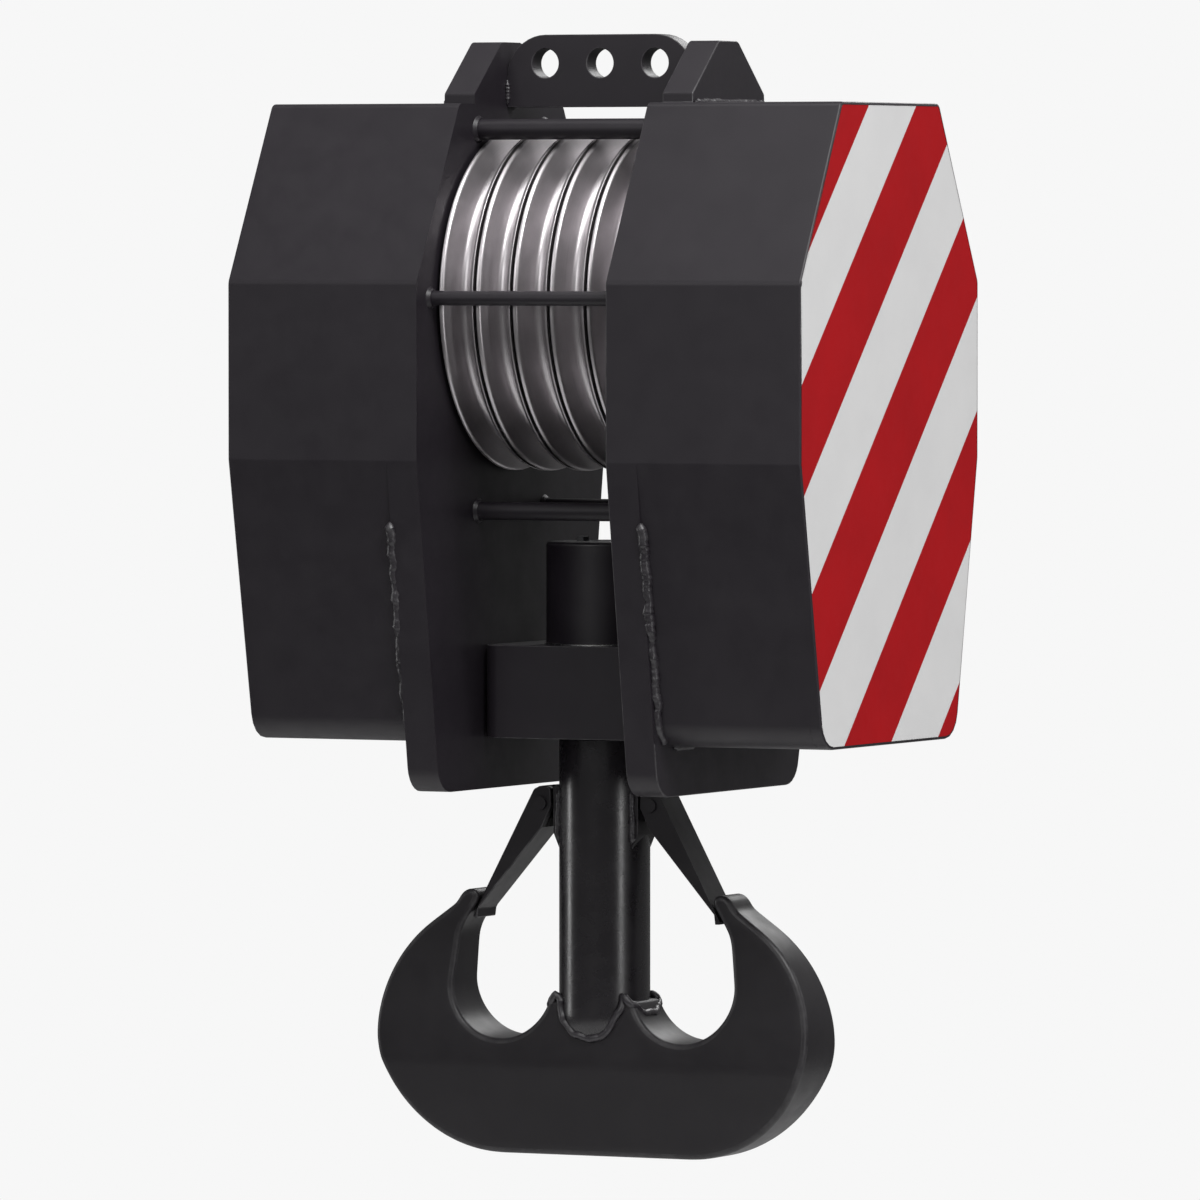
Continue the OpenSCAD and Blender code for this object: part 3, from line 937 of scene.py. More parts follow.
@dataclass
class CutPlates:
    """Side plates with their lugs, the rope anchor plate and the crosshead, with softened edges."""

    rack: FinishRack
    plate_edge: float = 3.0 * MM
    anchor_edge: float = 2.2 * MM
    block_edge: float = 3.5 * MM
    nut_edge: float = 1.5 * MM

    def build(self) -> None:
        """Makes the plates and the crosshead."""
        for side in Side:
            node = f"side_plate_{side.word}"
            joint = self.casing_joint(node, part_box(f"cheek_casing_{side.word}"))
            self.soft_copy(node, "frame", self.plate_edge, Slot.FRAME, joint)
        self.soft_copy("anchor_plate", "frame", self.anchor_edge, Slot.FRAME)
        self.soft_copy("crosshead", "crosshead", self.block_edge, Slot.FRAME)
        self.soft_copy("hook_nut", "hook", self.nut_edge, Slot.NUT)

    @staticmethod
    def casing_joint(node: str, casing: tuple[Vector, Vector]) -> FlushRule:
        """Makes the rule for edges that the casing is welded to and that are ground flush.

        Args:
            node: The side plate.
            casing: Box of the casing.

        Returns:
            The rule, for a place on the plate.
        """
        outer = outer_face(node)
        bottom, top = casing[0].z, casing[1].z

        def rule(spot: Vector) -> bool:
            """Whether a place lies on the outer face's edge between the casing's bottom and top."""
            return abs(abs(spot.x) - outer) < 0.1 * MM and bottom < spot.z < top + 1 * MM

        return rule

    def soft_copy(
        self,
        node: str,
        body: str,
        width: float,
        slot: Slot,
        flush: FlushRule = nowhere,
    ) -> bpy.types.Object:
        """Replaces a node by a copy with rounded edges.

        Args:
            node: The node.
            body: The body that it rides on.
            width: Width of the rounding.
            slot: The slot of its finish.
            flush: Rule for edges that stay sharp.

        Returns:
            The new piece.
        """
        bm = node_mesh(node)
        soften(bm, width, flush=flush)
        piece = add_piece(f"{node}_dressed", bm, body, [node])
        return self.rack.dress(piece, slot)


@dataclass
class Cheek:
    """One weighted cheek: the bent casing and its outer cover with the striped face."""

    rack: FinishRack
    side: Side
    face_margin: float = 0.5 * MM
    rim: float = 3.0 * MM

    def build(self) -> None:
        """Makes the casing and the cover."""
        word = self.side.word
        casing = node_mesh(f"cheek_casing_{word}")
        piece = add_piece(f"cheek_casing_{word}_dressed", casing, "frame", [f"cheek_casing_{word}"])
        self.rack.dress(piece, Slot.FRAME)
        self.cover(f"cheek_cover_{word}")

    def cover(self, node: str) -> bpy.types.Object:
        """Makes the cover, striped on its flat outer face inside a narrow plain rim.

        Args:
            node: The cover's node.

        Returns:
            The new piece.
        """
        bm = node_mesh(node)
        low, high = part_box(node)
        outer = high.x if self.side is Side.RIGHT else low.x
        flat = [f for f in bm.faces if all(abs(v.co.x - outer) < self.face_margin for v in f.verts)]
        bmesh.ops.inset_region(bm, faces=flat, thickness=self.rim, use_even_offset=True)
        for face in flat:
            face.material_index = 1
        piece = add_piece(f"{node}_dressed", bm, "frame", [node])
        self.rack.dress(piece, Slot.FRAME)
        return self.rack.dress(piece, Slot.STRIPE)


@dataclass
class Sheave:
    """One rope sheave, turned from its own section with rounded lips and softened corners."""

    rack: FinishRack
    number: int
    seat_radius: float = 12.0 * MM
    depth: float = 40.0 * MM
    flank_deg: float = 67.5
    lip_round: float = 4.6 * MM
    rim_round: float = 1.0 * MM
    rim_depth: float = 46.0 * MM
    web_start: float = 58.0 * MM
    web_half: float = 14.0 * MM
    web_round: float = 6.0 * MM
    hub_radius: float = 148.0 * MM
    bore_radius: float = 115.0 * MM
    face_step: float = 1.2 * MM
    face_ring: float = 9.0 * MM
    chamfer: float = 1.0 * MM
    turns: int = 160

    def half_profile(self, rim: float, half: float) -> Profile:
        """Right half of the section, from the middle of the groove to the bore.

        Args:
            rim: Outer radius.
            half: Half the width.

        Returns:
            Points as distance from the middle and radius.
        """
        seat = rim - self.depth + self.seat_radius
        flank = math.radians(self.flank_deg)
        points: Profile = []
        for angle in spread(0.0, flank, 11):
            out, down = self.seat_radius * math.sin(angle), self.seat_radius * math.cos(angle)
            points.append((out, seat - down))
        foot_x, foot_r = points[-1]
        lip = foot_x + (rim - foot_r) * math.tan(math.pi / 2 - flank)
        points += self.rounded((foot_x, foot_r), (lip, rim), (half, rim), self.lip_round, 6)
        points += self.rounded((lip, rim), (half, rim), (half, rim - self.rim_depth), self.rim_round)
        ring_foot = rim - self.face_ring
        rim_foot = (half - self.face_step, rim - self.rim_depth)
        points += [(half, ring_foot + self.face_step), (half - self.face_step, ring_foot), rim_foot]
        web_top, web_foot = (self.web_half, rim - self.web_start), (self.web_half, self.hub_radius)
        points += self.rounded(rim_foot, web_top, web_foot, self.web_round)
        points += [
            (self.web_half, self.hub_radius + 10.0 * MM),
            (self.web_half + 3.0 * MM, self.hub_radius + 4.0 * MM),
            (half - self.chamfer, self.hub_radius),
            (half, self.hub_radius - self.chamfer),
            (half, self.bore_radius + self.chamfer),
            (half - self.chamfer, self.bore_radius),
        ]
        return points

    @staticmethod
    def rounded(
        a: tuple[float, float],
        b: tuple[float, float],
        c: tuple[float, float],
        radius: float,
        steps: int = 4,
    ) -> Profile:
        """Rounds the corner at b with a quadratic curve.

        Args:
            a: The corner before.
            b: The corner to round.
            c: The corner after.
            radius: How far the rounding reaches along each side.
            steps: Faces across it.

        Returns:
            Points of the rounding.
        """
        corner = Vector(b)
        start = corner + (Vector(a) - corner).normalized() * radius
        stop = corner + (Vector(c) - corner).normalized() * radius
        curve = []
        for i in range(steps + 1):
            t = i / steps
            point = start * (1 - t) ** 2 + corner * 2 * t * (1 - t) + stop * t * t
            curve.append((point.x, point.y))
        return curve

    def build(self) -> None:
        """Turns the sheave and hides its node."""
        node = f"sheave_{self.number}"
        low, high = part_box(node)
        centre = Vector(((low.x + high.x) / 2, 0.0, 0.0))
        half_section = self.half_profile(high.z, (high.x - low.x) / 2)
        mirrored = [(-x, r) for x, r in reversed(half_section[1:])]
        bm = lathe(half_section + mirrored, centre, self.turns)
        piece = add_piece(f"{node}_turned", bm, node, [node])
        self.rack.dress(piece, Slot.SHEAVE)


@dataclass
class Forging:
    """The double hook: a flat forging with rounded edges, a turned shank and the machined neck."""

    rack: FinishRack
    round_over: float = 9.0 * MM
    round_steps: int = 6
    outline_step: float = 5.0 * MM
    grid: float = 11.0 * MM
    shoulder_drop: float = 4.0 * MM
    horn_top: float = -0.960
    belly_top: float = -1.25
    dome_search: float = -1.12
    shank_turns: int = 128
    shank_clear: float = 1.0 * MM
    waviness: float = 0.35 * MM
    # Share of lighter paint on the rounded edges: worn paint and a painted edge highlight.
    rub: float = 0.4
    crease: float = -1.253
    ease: float = 60.0 * MM

    def build(self) -> None:
        """Makes the three parts of the hook in place of its node."""
        probe = Probe("hook")
        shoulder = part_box("crosshead")[0].z - self.shoulder_drop
        shank = abs(probe.facing(0.0, (self.horn_top + shoulder) / 2, End.FRONT).y)
        self.rack.dress(self.flat_part(probe, shank), Slot.HOOK)
        bar = self.shank(probe, shank, shoulder)
        bar.data.materials.append(self.rack.shank_paint)
        self.rack.dress(self.neck(shoulder), Slot.HOOK)

    def outline(self, shank: float) -> list[Vector]:
        """Edge of the flat part, as seen from the front.

        Args:
            shank: Radius of the round shank, inside which the edge runs straight across.

        Returns:
            Points (x, 0, z) in order round the edge.
        """
        bm = node_mesh("hook")
        everything = bm.verts[:] + bm.edges[:] + bm.faces[:]
        cut = bmesh.ops.bisect_plane(bm, geom=everything, plane_co=(0, 0, 0), plane_no=(0, 1, 0))
        edges = {e for e in cut["geom_cut"] if isinstance(e, bmesh.types.BMEdge)}
        at = min((v for e in edges for v in e.verts), key=lambda v: (round(v.co.z, 5), v.co.x))
        loop = []
        while edges:
            step = next((e for e in at.link_edges if e in edges), None)
            if step is None:
                break
            edges.discard(step)
            loop.append(at.co.copy())
            at = step.other_vert(at)
        bm.free()
        inner = shank + self.shank_clear
        kept = [p for p in loop if p.z < self.horn_top and abs(p.x) > inner or p.z < self.belly_top]
        return even_loop(kept, self.outline_step, 2)

    @staticmethod
    def inward_ways(line: list[Vector]) -> list[Vector]:
        """Directions into the flat part, square to its edge.

        Args:
            line: Points (x, 0, z) in order round the edge.

        Returns:
            One direction for each point.
        """
        following = line[1:] + line[:1]
        area = sum(a.x * b.z - b.x * a.z for a, b in zip(line, following))
        turn = 1.0 if area > 0 else -1.0
        ways = []
        for i, point in enumerate(following):
            along = (point - line[i - 1]).normalized()
            ways.append(Vector((-along.z, 0.0, along.x)) * turn)
        return ways

    def thickness(self, probe: Probe) -> list[tuple[float, float]]:
        """Half thickness of the flat part against height.

        Args:
            probe: The hook's surface.

        Returns:
            Pairs of height and half thickness, lowest first.
        """
        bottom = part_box("hook")[0].z
        table = []
        for i in range(90):
            z = bottom + 1.0 * MM + (self.horn_top - 8.0 * MM - bottom) * i / 89
            hits = [probe.facing(0.02 * k, z, End.FRONT) for k in range(20)]
            depths = [abs(hit.y) for hit in hits if hit is not None]
            if depths:
                table.append((z, min(depths)))
        return [(z, self.eased(table, z)) for z, _ in table]

    def eased(self, table: list[tuple[float, float]], z: float) -> float:
        """Half thickness at height z, averaged a little way up and down but not across the crease.

        Args:
            table: Pairs of height and half thickness.
            z: The height.

        Returns:
            The averaged half thickness.
        """
        reach = min(self.ease, abs(z - self.crease), abs(z - table[0][0]), abs(table[-1][0] - z))
        near = [value for height, value in table if abs(height - z) <= reach + 1e-6]
        return sum(near) / len(near) if near else self.between(table, z)

    @staticmethod
    def between(table: list[tuple[float, float]], z: float) -> float:
        """Reads a table at a height.

        Args:
            table: Pairs of height and value, lowest first.
            z: The height.

        Returns:
            The value there.
        """
        for (low, a), (high, b) in zip(table, table[1:]):
            if z <= high:
                share = max(0.0, (z - low) / (high - low))
                return a + (b - a) * share
        return table[-1][1]

    def flat_part(self, probe: Probe, shank: float) -> bpy.types.Object:
        """Builds the flat part from its edge: rounded corners in front and behind, then the faces.

        Args:
            probe: The hook's surface.
            shank: Radius of the round shank.

        Returns:
            The forging.
        """
        line = self.outline(shank)
        table = self.thickness(probe)
        inward = self.inward_ways(line)
        bm = bmesh.new()
        layer = bm.faces.layers.float.new(EDGE_LAYER)
        rings = []
        for end in (-1.0, 1.0):
            for k in range(self.round_steps + 1):
                share = k if end < 0 else self.round_steps - k
                angle = math.pi / 2 * (1 - share / self.round_steps)
                ring = []
                for point, way in zip(line, inward):
                    spot = point + way * self.round_over * (1 - math.cos(angle))
                    half = self.between(table, spot.z) - self.round_over * (1 - math.sin(angle))
                    half += self.wave(spot, end) * math.sin(angle)
                    ring.append(bm.verts.new((spot.x, end * half, spot.z)))
                rings.append(ring)
        # Rounded edge faces get lighter paint, worn paint and a painted edge highlight; the side wall
        # between the roundings stays plain.
        for number, face in enumerate(bridge(bm, rings)):
            face[layer] = 0.0 if number // len(line) == self.round_steps else self.rub
        for end, ring in ((-1.0, rings[0]), (1.0, rings[-1])):
            self.fill(bm, ring, table, end)
        return add_piece("hook_forging", bm, "hook", ["hook"], weighted=False)

    def wave(self, spot: Vector, end: float) -> float:
        """Slight unevenness that the dies leave on a face."""
        return self.waviness * noise.noise(Vector((spot.x * 17.0, end * 5.0, spot.z * 17.0)))

    def fill(
        self,
        bm: bmesh.types.BMesh,
        ring: list[bmesh.types.BMVert],
        table: list[tuple[float, float]],
        end: float,
    ) -> None:
        """Fills one face of the flat part over an even grid.

        Args:
            bm: The forging's mesh.
            ring: Corners of the face's edge.
            table: Half thickness against height.
            end: -1 in front, 1 behind.
        """
        edge = [v.co.xz for v in ring]
        count = len(ring)
        spots = [Vector(p) for p in edge]
        low_x, high_x = min(p.x for p in edge), max(p.x for p in edge)
        low_z, high_z = min(p.y for p in edge), max(p.y for p in edge)
        for i in range(1, int((high_x - low_x) / self.grid)):
            for j in range(1, int((high_z - low_z) / self.grid)):
                spot = Vector((low_x + i * self.grid, low_z + j * self.grid))
                if min((spot - p).length_squared for p in edge) > (0.6 * self.grid) ** 2:
                    spots.append(spot)
        sides = [(i, (i + 1) % count) for i in range(count)]
        filled = geometry.delaunay_2d_cdt(spots, sides, [list(range(count))], 1, 1e-6)
        corners, _, faces, origins = filled[:4]
        verts = []
        for corner, origin in zip(corners, origins):
            if origin and origin[0] < count:
                verts.append(ring[origin[0]])
                continue
            spot = Vector((corner.x, 0.0, corner.y))
            half = self.between(table, spot.z) + self.wave(spot, end)
            verts.append(bm.verts.new((spot.x, end * half, spot.z)))
        for face in faces:
            bm.faces.new([verts[i] for i in face])
        loose = [v for v in verts if not v.link_faces]
        bmesh.ops.delete(bm, geom=loose, context="VERTS")

    def shank(self, probe: Probe, radius: float, shoulder: float) -> bpy.types.Object:
        """Turns the round shank, with a domed end that stands a little proud of the flat part.

        Args:
            probe: The hook's surface.
            radius: The shank's radius.
            shoulder: Height at which the neck takes over.

        Returns:
            The shank.
        """
        tip = self.dome_foot(probe, radius)
        bm = bmesh.new()
        angles = spread(0.0, math.pi / 2, 21)[1:]
        section = [(radius * math.sin(angle), tip + radius * (1 - math.cos(angle))) for angle in angles]
        section += [(radius, z) for z in spread(tip + radius, shoulder, 13)[1:]]
        turns = spread(0.0, math.tau, self.shank_turns + 1)[:-1]
        rings = []
        for reach, z in section:
            rings.append([bm.verts.new((reach * math.cos(a), reach * math.sin(a), z)) for a in turns])
        bridge(bm, rings)
        bm.faces.new(rings[0])
        bm.faces.new(rings[-1])
        return add_piece("hook_shank", bm, "hook")

    def dome_foot(self, probe: Probe, radius: float) -> float:
        """Height of the lowest point of the shank's dome.

        Args:
            probe: The hook's surface.
            radius: The shank's radius.

        Returns:
            The height.
        """
        for i in range(160):
            z = self.dome_search - i * MM
            hit = probe.facing(0.0, z, End.FRONT)
            if abs(hit.y) < radius - 1.0 * MM:
                drop = math.sqrt(radius**2 - hit.y**2)
                return z + drop - radius
        return self.dome_search - radius

    @staticmethod
    def cut_node(height: float, keep_above: bool) -> bmesh.types.BMesh:
        """Cuts the hook's node at a height and closes the cut.

        Args:
            height: Where to cut.
            keep_above: Whether the upper part is kept.

        Returns:
            The part that is kept.
        """
        bm = node_mesh("hook")
        everything = bm.verts[:] + bm.edges[:] + bm.faces[:]
        cut = bmesh.ops.bisect_plane(
            bm,
            geom=everything,
            plane_co=(0.0, 0.0, height),
            plane_no=(0.0, 0.0, 1.0),
            clear_outer=not keep_above,
            clear_inner=keep_above,
        )
        rim = [e for e in cut["geom_cut"] if isinstance(e, bmesh.types.BMEdge)]
        bmesh.ops.contextual_create(bm, geom=rim)
        return bm

    def neck(self, shoulder: float) -> bpy.types.Object:
        """Keeps the machined neck, thread and lock slot, with a small rounding.

        Args:
            shoulder: Height at which the forging ends.

        Returns:
            The neck.
        """
        bm = self.cut_node(shoulder, keep_above=True)
        soften(bm, 0.8 * MM, 2)
        return add_piece("hook_neck", bm, "hook")


@dataclass
class LatchSet:
    """Safety latch of one side with its bracket on the shank."""

    rack: FinishRack
    side: Side
    latch_edge: float = 2.2 * MM
    bracket_edge: float = 2.0 * MM

    def build(self) -> None:
        """Makes the latch and the bracket with softened edges."""
        word = self.side.word
        for node, body, width in (
            (f"latch_{word}", f"latch_{word}", self.latch_edge),
            (f"latch_bracket_{word}", "hook", self.bracket_edge),
        ):
            bm = node_mesh(node)
            soften(bm, width)
            self.rack.dress(add_piece(f"{node}_dressed", bm, body, [node]), Slot.HOOK)


@dataclass
class FrameWelds:
    """Seams that join the cheeks, lugs and anchor plate to the side plates."""

    rack: FinishRack
    seam_top: float = -0.357
    seam_foot: float = 6.0 * MM
    foot_spans: tuple[tuple[float, float], ...] = ((-0.212, -0.135), (-0.100, 0.100), (0.135, 0.212))
    lug_half: float = 0.132
    lug_clear: float = 62.0 * MM
    seam_radius: float = 9.0 * MM
    foot_radius: float = 7.0 * MM
    lug_radius: float = 6.5 * MM
    anchor_radius: float = 5.0 * MM
    stand_off: float = 1.5 * MM

    def build(self) -> None:
        """Lays every bead of the frame."""
        for side in Side:
            for end in End:
                self.side_seam(side, end)
                self.anchor_seam(side, end)
            self.foot_seams(side)
            self.lug_seam(side)

    def lay(self, name: str, points: list[Vector], radius: float, **more: float) -> None:
        """Lays one bead on the frame.

        Args:
            name: The bead's name.
            points: Its line.
            radius: Its radius.
            more: Other sizes of the bead.
        """
        seed = float(sum(map(ord, name)) % 97)
        WeldBead(name, points, "frame", radius, seed=seed, **more).build(self.rack, Slot.FRAME)

    def corner(self, side: Side) -> float:
        """Where beads beside a plate's outer face lie along X."""
        return side.value * (outer_face(f"side_plate_{side.word}") + self.stand_off)

    def side_seam(self, side: Side, end: End) -> None:
        """Bead down the corner between a side plate and the sloping face of its casing.

        Args:
            side: Which cheek.
            end: Its front or its back.
        """
        casing = f"cheek_casing_{side.word}"
        probe = Probe(casing)
        points = []
        for z in spread(self.seam_top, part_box(casing)[0].z + self.seam_foot, 13):
            hit = probe.facing(self.corner(side), z, end, far=1.0)
            if hit is not None:
                points.append(hit + Vector((0.0, end.value * self.stand_off, 0.0)))
        name = f"seam_{side.word}_{end.word}"
        self.lay(name, points, self.seam_radius, wander=0.004, ripple=0.10, pitch=0.012)

    def foot_seams(self, side: Side) -> None:
        """Short beads under a cheek, where its casing meets the side plate.

        Args:
            side: Which cheek.
        """
        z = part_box(f"cheek_casing_{side.word}")[0].z - self.stand_off
        for number, (start, stop) in enumerate(self.foot_spans, 1):
            points = [Vector((self.corner(side), y, z)) for y in spread(start, stop, 7)]
            self.lay(f"foot_seam_{side.word}_{number}", points, self.foot_radius, ripple=0.3)

    def lug_seam(self, side: Side) -> None:
        """Bead along the root of a rigging lug on top of the cheek.

        Args:
            side: Which lug.
        """
        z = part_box(f"cheek_casing_{side.word}")[1].z + self.stand_off
        points = [Vector((self.corner(side), y, z)) for y in spread(-self.lug_half, self.lug_half, 9)]
        self.lay(f"lug_seam_{side.word}", points, self.lug_radius, ripple=0.45, pitch=0.012)

    def anchor_seam(self, side: Side, end: End) -> None:
        """Bead up the corner between the anchor plate and a lug.

        Args:
            side: Which lug.
            end: The anchor plate's front or back face.
        """
        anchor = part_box("anchor_plate")
        x = side.value * (anchor[1].x - self.stand_off)
        y = end.value * (anchor[1].y + self.stand_off)
        low, high = anchor[0].z + 4 * MM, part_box(f"side_plate_{side.word}")[1].z - self.lug_clear
        points = [Vector((x, y, z)) for z in spread(low, high, 6)]
        self.lay(f"anchor_seam_{side.word}_{end.word}", points, self.anchor_radius)


@dataclass
class HookWelds:
    """Seam where the round shank runs into the flat hook, and the seams of the latch brackets."""

    rack: FinishRack
    u_shape: tuple[tuple[float, float], ...] = (
        (0.0, -1.2090),
        (0.025, -1.2030),
        (0.043, -1.1850),
        (0.053, -1.1640),
        (0.060, -1.1400),
    )
    saddle: tuple[tuple[float, float, float], ...] = (
        (0.0735, 0.95, -1.1520),
        (0.0790, 0.70, -1.1610),
        (0.0825, 0.35, -1.1660),
        (0.0835, 0.0, -1.1670),
    )
    radius: float = 6.6 * MM
    bracket_radius: float = 6.0 * MM
    half_guess: float = 0.05

    def build(self) -> None:
        """Lays the seam round the shank and one down each side of both brackets."""
        line = self.shank_line()
        self.lay("shank_seam", line, self.radius, closed=True, ripple=0.07, pitch=0.014, seed=5.0)
        for side in Side:
            for end in End:
                self.bracket_seam(side, end)

    def lay(
        self, name: str, points: list[Vector], radius: float, wander: float = 0.004, **more: float
    ) -> None:
        """Lays one bead on the hook.

        Args:
            name: The bead's name.
            points: Its line.
            radius: Its radius.
            wander: How far it strays from its line.
            more: Other sizes of the bead.
        """
        WeldBead(name, points, "hook", radius, wander=wander, **more).build(self.rack, Slot.HOOK)

    def on_face(self, probe: Probe, x: float, z: float, end: End) -> Vector:
        """Point of the hook's surface in front of or behind the middle plane.

        Args:
            probe: The hook's surface.
            x: Distance from the middle.
            z: Height.
            end: Front or back.

        Returns:
            The point.
        """
        hit = probe.facing(x, z, end)
        return hit if hit is not None else Vector((x, end.value * self.half_guess, z))

    def shank_line(self) -> list[Vector]:
        """Line of the seam: a deep U on each face, joined by a saddle over each bowl.

        Returns:
            Points round the shank.
        """
        probe = Probe("hook")
        points: list[Vector] = []
        for end, turn in ((End.FRONT, 1.0), (End.BACK, -1.0)):
            across = [(-x, z) for x, z in reversed(self.u_shape[1:])] + list(self.u_shape)
            points += [self.on_face(probe, turn * x, z, end) for x, z in across]
            half = abs(points[-1].y)
            for x, share, z in self.saddle:
                points.append(Vector((turn * x, end.value * share * half, z)))
            for x, share, z in reversed(self.saddle[:-1]):
                points.append(Vector((turn * x, -end.value * share * half, z)))
        return points

    def bracket_seam(self, side: Side, end: End) -> None:
        """Bead down the corner between a bracket's cheek and the shank.

        Args:
            side: Which bracket.
            end: Its front or its back.
        """
        low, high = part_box(f"latch_bracket_{side.word}")
        probe = Probe("hook")
        y = end.value * (high.y + 0.5 * MM)
        points = []
        for z in spread(high.z - 2 * MM, low.z + 12 * MM, 8):
            hit = probe.touch((side.value * 0.5, y, z), (-side.value, 0.0, 0.0))
            if hit is not None:
                points.append(hit + Vector((side.value * 1.0 * MM, 0.0, 0.0)))
        seed = 11.0 * side.value + 3.0 * end.value
        name = f"bracket_seam_{side.word}_{end.word}"
        self.lay(name, points, self.bracket_radius, wander=0.003, ripple=0.08, seed=seed)


# ---------------------------------------------------------------- studio


def outward(turn_deg: float, rise_deg: float) -> Vector:
    """Direction away from the block.

    Args:
        turn_deg: Turn from straight in front towards the right.
        rise_deg: Rise above level.

    Returns:
        The direction.
    """
    turn, rise = math.radians(turn_deg), math.radians(rise_deg)
    level = math.cos(rise)
    return Vector((math.sin(turn) * level, -math.cos(turn) * level, math.sin(rise)))


def look_at(name: str, data: bpy.types.ID, target: Vector, way: Vector, far: float) -> bpy.types.Object:
    """Places a camera or a light so that it looks at a target.

    Args:
        name: Its name.
        data: The camera or light.
        target: What it looks at.
        way: Direction from the target to it.
        far: Its distance.

    Returns:
        Its object.
    """
    item = put_in_scene(name, data)
    item.location = target + way * far
    item.rotation_euler = (-way).to_track_quat("-Z", "Y").to_euler()
    return item


@dataclass
class StudioCamera:
    """Long lens, to the right of the block's front and slightly above its middle."""

    turn_deg: float = 25.846
    dip_deg: float = 1.883
    distance: float = 18.65
    lens: float = 340.74
    sensor: float = 36.0
    aim_right: float = -0.0078
    aim_up: float = -0.0075

    def build(self, middle: Vector) -> None:
        """Places the camera and makes it the scene's own.

        Args:
            middle: Middle of the block's box.
        """
        turn = math.radians(self.turn_deg)
        right = Vector((math.cos(turn), math.sin(turn), 0.0))
        data = bpy.data.cameras.new("studio_camera")
        data.lens = self.lens
        data.sensor_width = self.sensor
        data.clip_end = 200.0
        aim = middle + right * self.aim_right + Vector((0.0, 0.0, self.aim_up))
        way = outward(self.turn_deg, self.dip_deg)
        bpy.context.scene.camera = look_at("studio_camera", data, aim, way, self.distance)


@dataclass
class SoftBox:
    """One large area light that looks at the block."""

    name: str
    turn_deg: float
    rise_deg: float
    distance: float
    size: float
    power: float
    height: float = 0.0

    def build(self, middle: Vector) -> None:
        """Hangs the light.

        Args:
            middle: What it looks at.
        """
        data = bpy.data.lights.new(self.name, "AREA")
        data.shape = "RECTANGLE" if self.height else "DISK"
        data.size = self.size
        data.size_y = self.height or self.size
        data.energy = self.power
        look_at(self.name, data, middle, outward(self.turn_deg, self.rise_deg), self.distance)


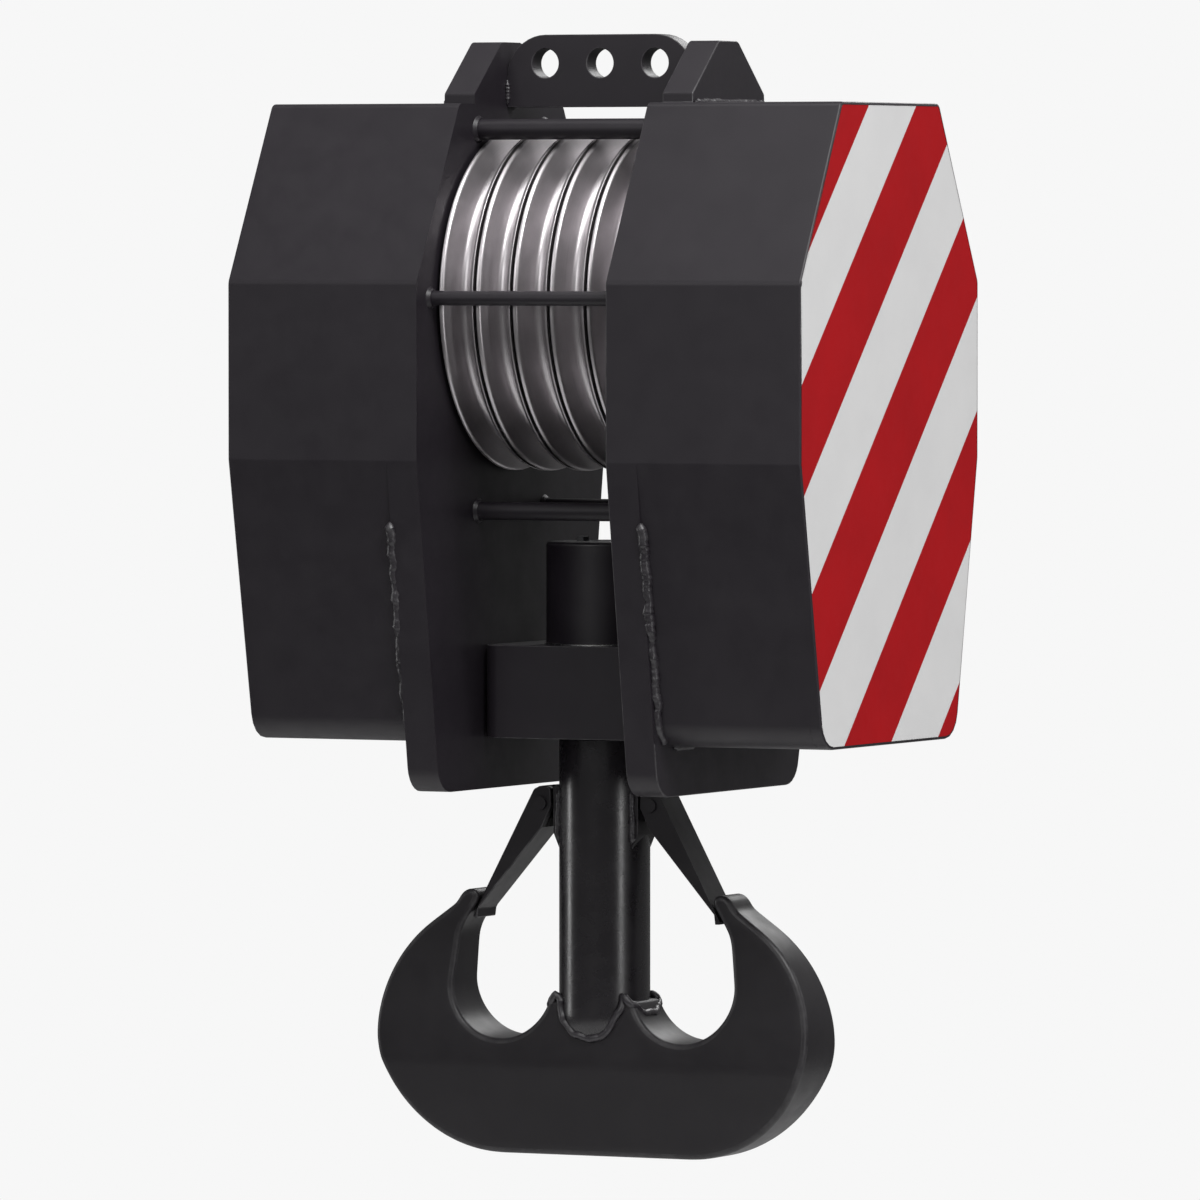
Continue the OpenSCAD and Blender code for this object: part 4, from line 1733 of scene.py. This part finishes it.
@dataclass
class Studio:
    """Pale floor well below the hanging block, soft lights and an even pale surround."""

    floor_drop: float = 0.7
    floor_radius: float = 3.0
    fade_start: float = 1.6
    surround: float = 0.93
    fill: float = 0.24
    fill_low: float = 0.10
    fill_heights: tuple[float, float] = (-0.4, 0.3)
    floor_tone: float = 0.72
    lights: tuple[SoftBox, ...] = (
        SoftBox("key_light", 56.0, 50.0, 8.0, 4.6, 610.0),
        SoftBox("front_fill", -5.0, 24.0, 7.0, 3.5, 95.0),
        SoftBox("right_strip", 68.0, 0.0, 6.0, 0.5, 50.0, 3.0),
        SoftBox("left_strip", -75.0, 0.0, 6.0, 0.5, 50.0, 3.0),
        SoftBox("side_light", 120.0, 22.0, 7.0, 2.0, 60.0),
        SoftBox("top_light", 0.0, 75.0, 6.0, 4.0, 140.0),
        SoftBox("back_light", 180.0, 35.0, 7.0, 3.5, 160.0),
    )

    def build(self, low: Vector, high: Vector) -> None:
        """Sets the studio up.

        Args:
            low: Lowest corner of the block.
            high: Highest corner of the block.
        """
        middle = (low + high) / 2
        for light in self.lights:
            light.build(middle)
        self.surroundings()
        self.floor(low.z - self.floor_drop)
        bpy.context.scene.view_settings.view_transform = "Standard"

    def surroundings(self) -> None:
        """Makes a pale surround that lights the block less than it shows."""
        world = bpy.data.worlds.new("pale_surround")
        world.use_nodes = True
        bpy.context.scene.world = world
        tree = world.node_tree
        tree.nodes.clear()
        kinds = ("OutputWorld", "Background", "Background", "MixShader", "LightPath")
        output, seen, given, mixed, path = [tree.nodes.new(f"ShaderNode{kind}") for kind in kinds]
        seen.inputs["Color"].default_value = (self.surround, self.surround, self.surround, 1.0)
        self.fill_by_height(tree, given)
        sources = (path.outputs["Is Camera Ray"], given.outputs[0], seen.outputs[0])
        for source, target in zip(sources, mixed.inputs):
            tree.links.new(source, target)
        tree.links.new(mixed.outputs[0], output.inputs[0])

    def fill_by_height(self, tree: bpy.types.NodeTree, given: bpy.types.Node) -> None:
        """Makes the surround give less light from below than from above.

        Args:
            tree: The world's nodes.
            given: The background that lights the block.
        """
        place = tree.nodes.new("ShaderNodeTexCoord")
        axes = tree.nodes.new("ShaderNodeSeparateXYZ")
        level = tree.nodes.new("ShaderNodeMapRange")
        tree.links.new(place.outputs["Generated"], axes.inputs[0])
        tree.links.new(axes.outputs[2], level.inputs[0])
        numbers = (*self.fill_heights, self.fill_low, self.fill)
        for socket, number in zip(list(level.inputs)[1:5], numbers):
            socket.default_value = number
        tree.links.new(level.outputs[0], given.inputs["Color"])

    def floor(self, height: float) -> None:
        """Lays a round pale floor that fades out at its rim.

        Args:
            height: Its height.
        """
        bm = bmesh.new()
        bmesh.ops.create_circle(bm, cap_ends=True, segments=96, radius=self.floor_radius)
        bmesh.ops.translate(bm, verts=bm.verts, vec=(0.0, 0.0, height))
        mesh = bpy.data.meshes.new("studio_floor")
        bm.to_mesh(mesh)
        bm.free()
        board = Board("pale_floor")
        x, y, _ = board.axes()
        fade = board.remap(board.radius(x, y), (self.fade_start, self.floor_radius - 0.05), (1.0, 0.0))
        board.shader.inputs["Base Color"].default_value = (*[self.floor_tone] * 3, 1.0)
        board.shader.inputs["Roughness"].default_value = 0.9
        backward = board.tree.nodes.new("ShaderNodeNewGeometry").outputs["Backfacing"]
        shown = board.reckon("MULTIPLY", fade, board.reckon("SUBTRACT", 1.0, backward))
        board.wire(shown, board.shader.inputs["Alpha"])
        mesh.materials.append(board.material)
        put_in_scene("studio_floor", mesh)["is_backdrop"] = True


# ---------------------------------------------------------------- the whole block


class HookBlock:
    """The crane hook block, built around the frame sub-assembly by sub-assembly."""

    def __init__(self, frame: dict) -> None:
        """Keeps the frame and makes the finishes.
        """
        self.frame = frame
        self.rack = FinishRack()
        self.slots = {part["node"]: Slot(part["material_slot"]) for part in frame["record"]["subparts"]}

    def dress_nodes(self) -> None:
        """Gives every carried-over node the finish of its slot."""
        for name, node in self.frame["nodes"].items():
            self.rack.dress_node(node, self.slots[name])
        LOG.info("%d nodes dressed", len(self.frame["nodes"]))

    def build(self) -> None:
        """Builds every sub-assembly in order."""
        self.dress_nodes()
        CutPlates(self.rack).build()
        for side in Side:
            Cheek(self.rack, side).build()
            LatchSet(self.rack, side).build()
        for number in range(1, SHEAVES + 1):
            Sheave(self.rack, number).build()
        Forging(self.rack).build()
        FrameWelds(self.rack).build()
        HookWelds(self.rack).build()


def main() -> None:
    """Loads the frame, then builds the camera, the block and the studio in order."""
    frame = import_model()
    logging.basicConfig(level=logging.INFO, format="%(message)s")
    noise.seed_set(SEED)
    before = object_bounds()
    StudioCamera().build((before[0] + before[1]) / 2)
    HookBlock(frame).build()
    Studio().build(*before)


if __name__ == "__main__":
    main()
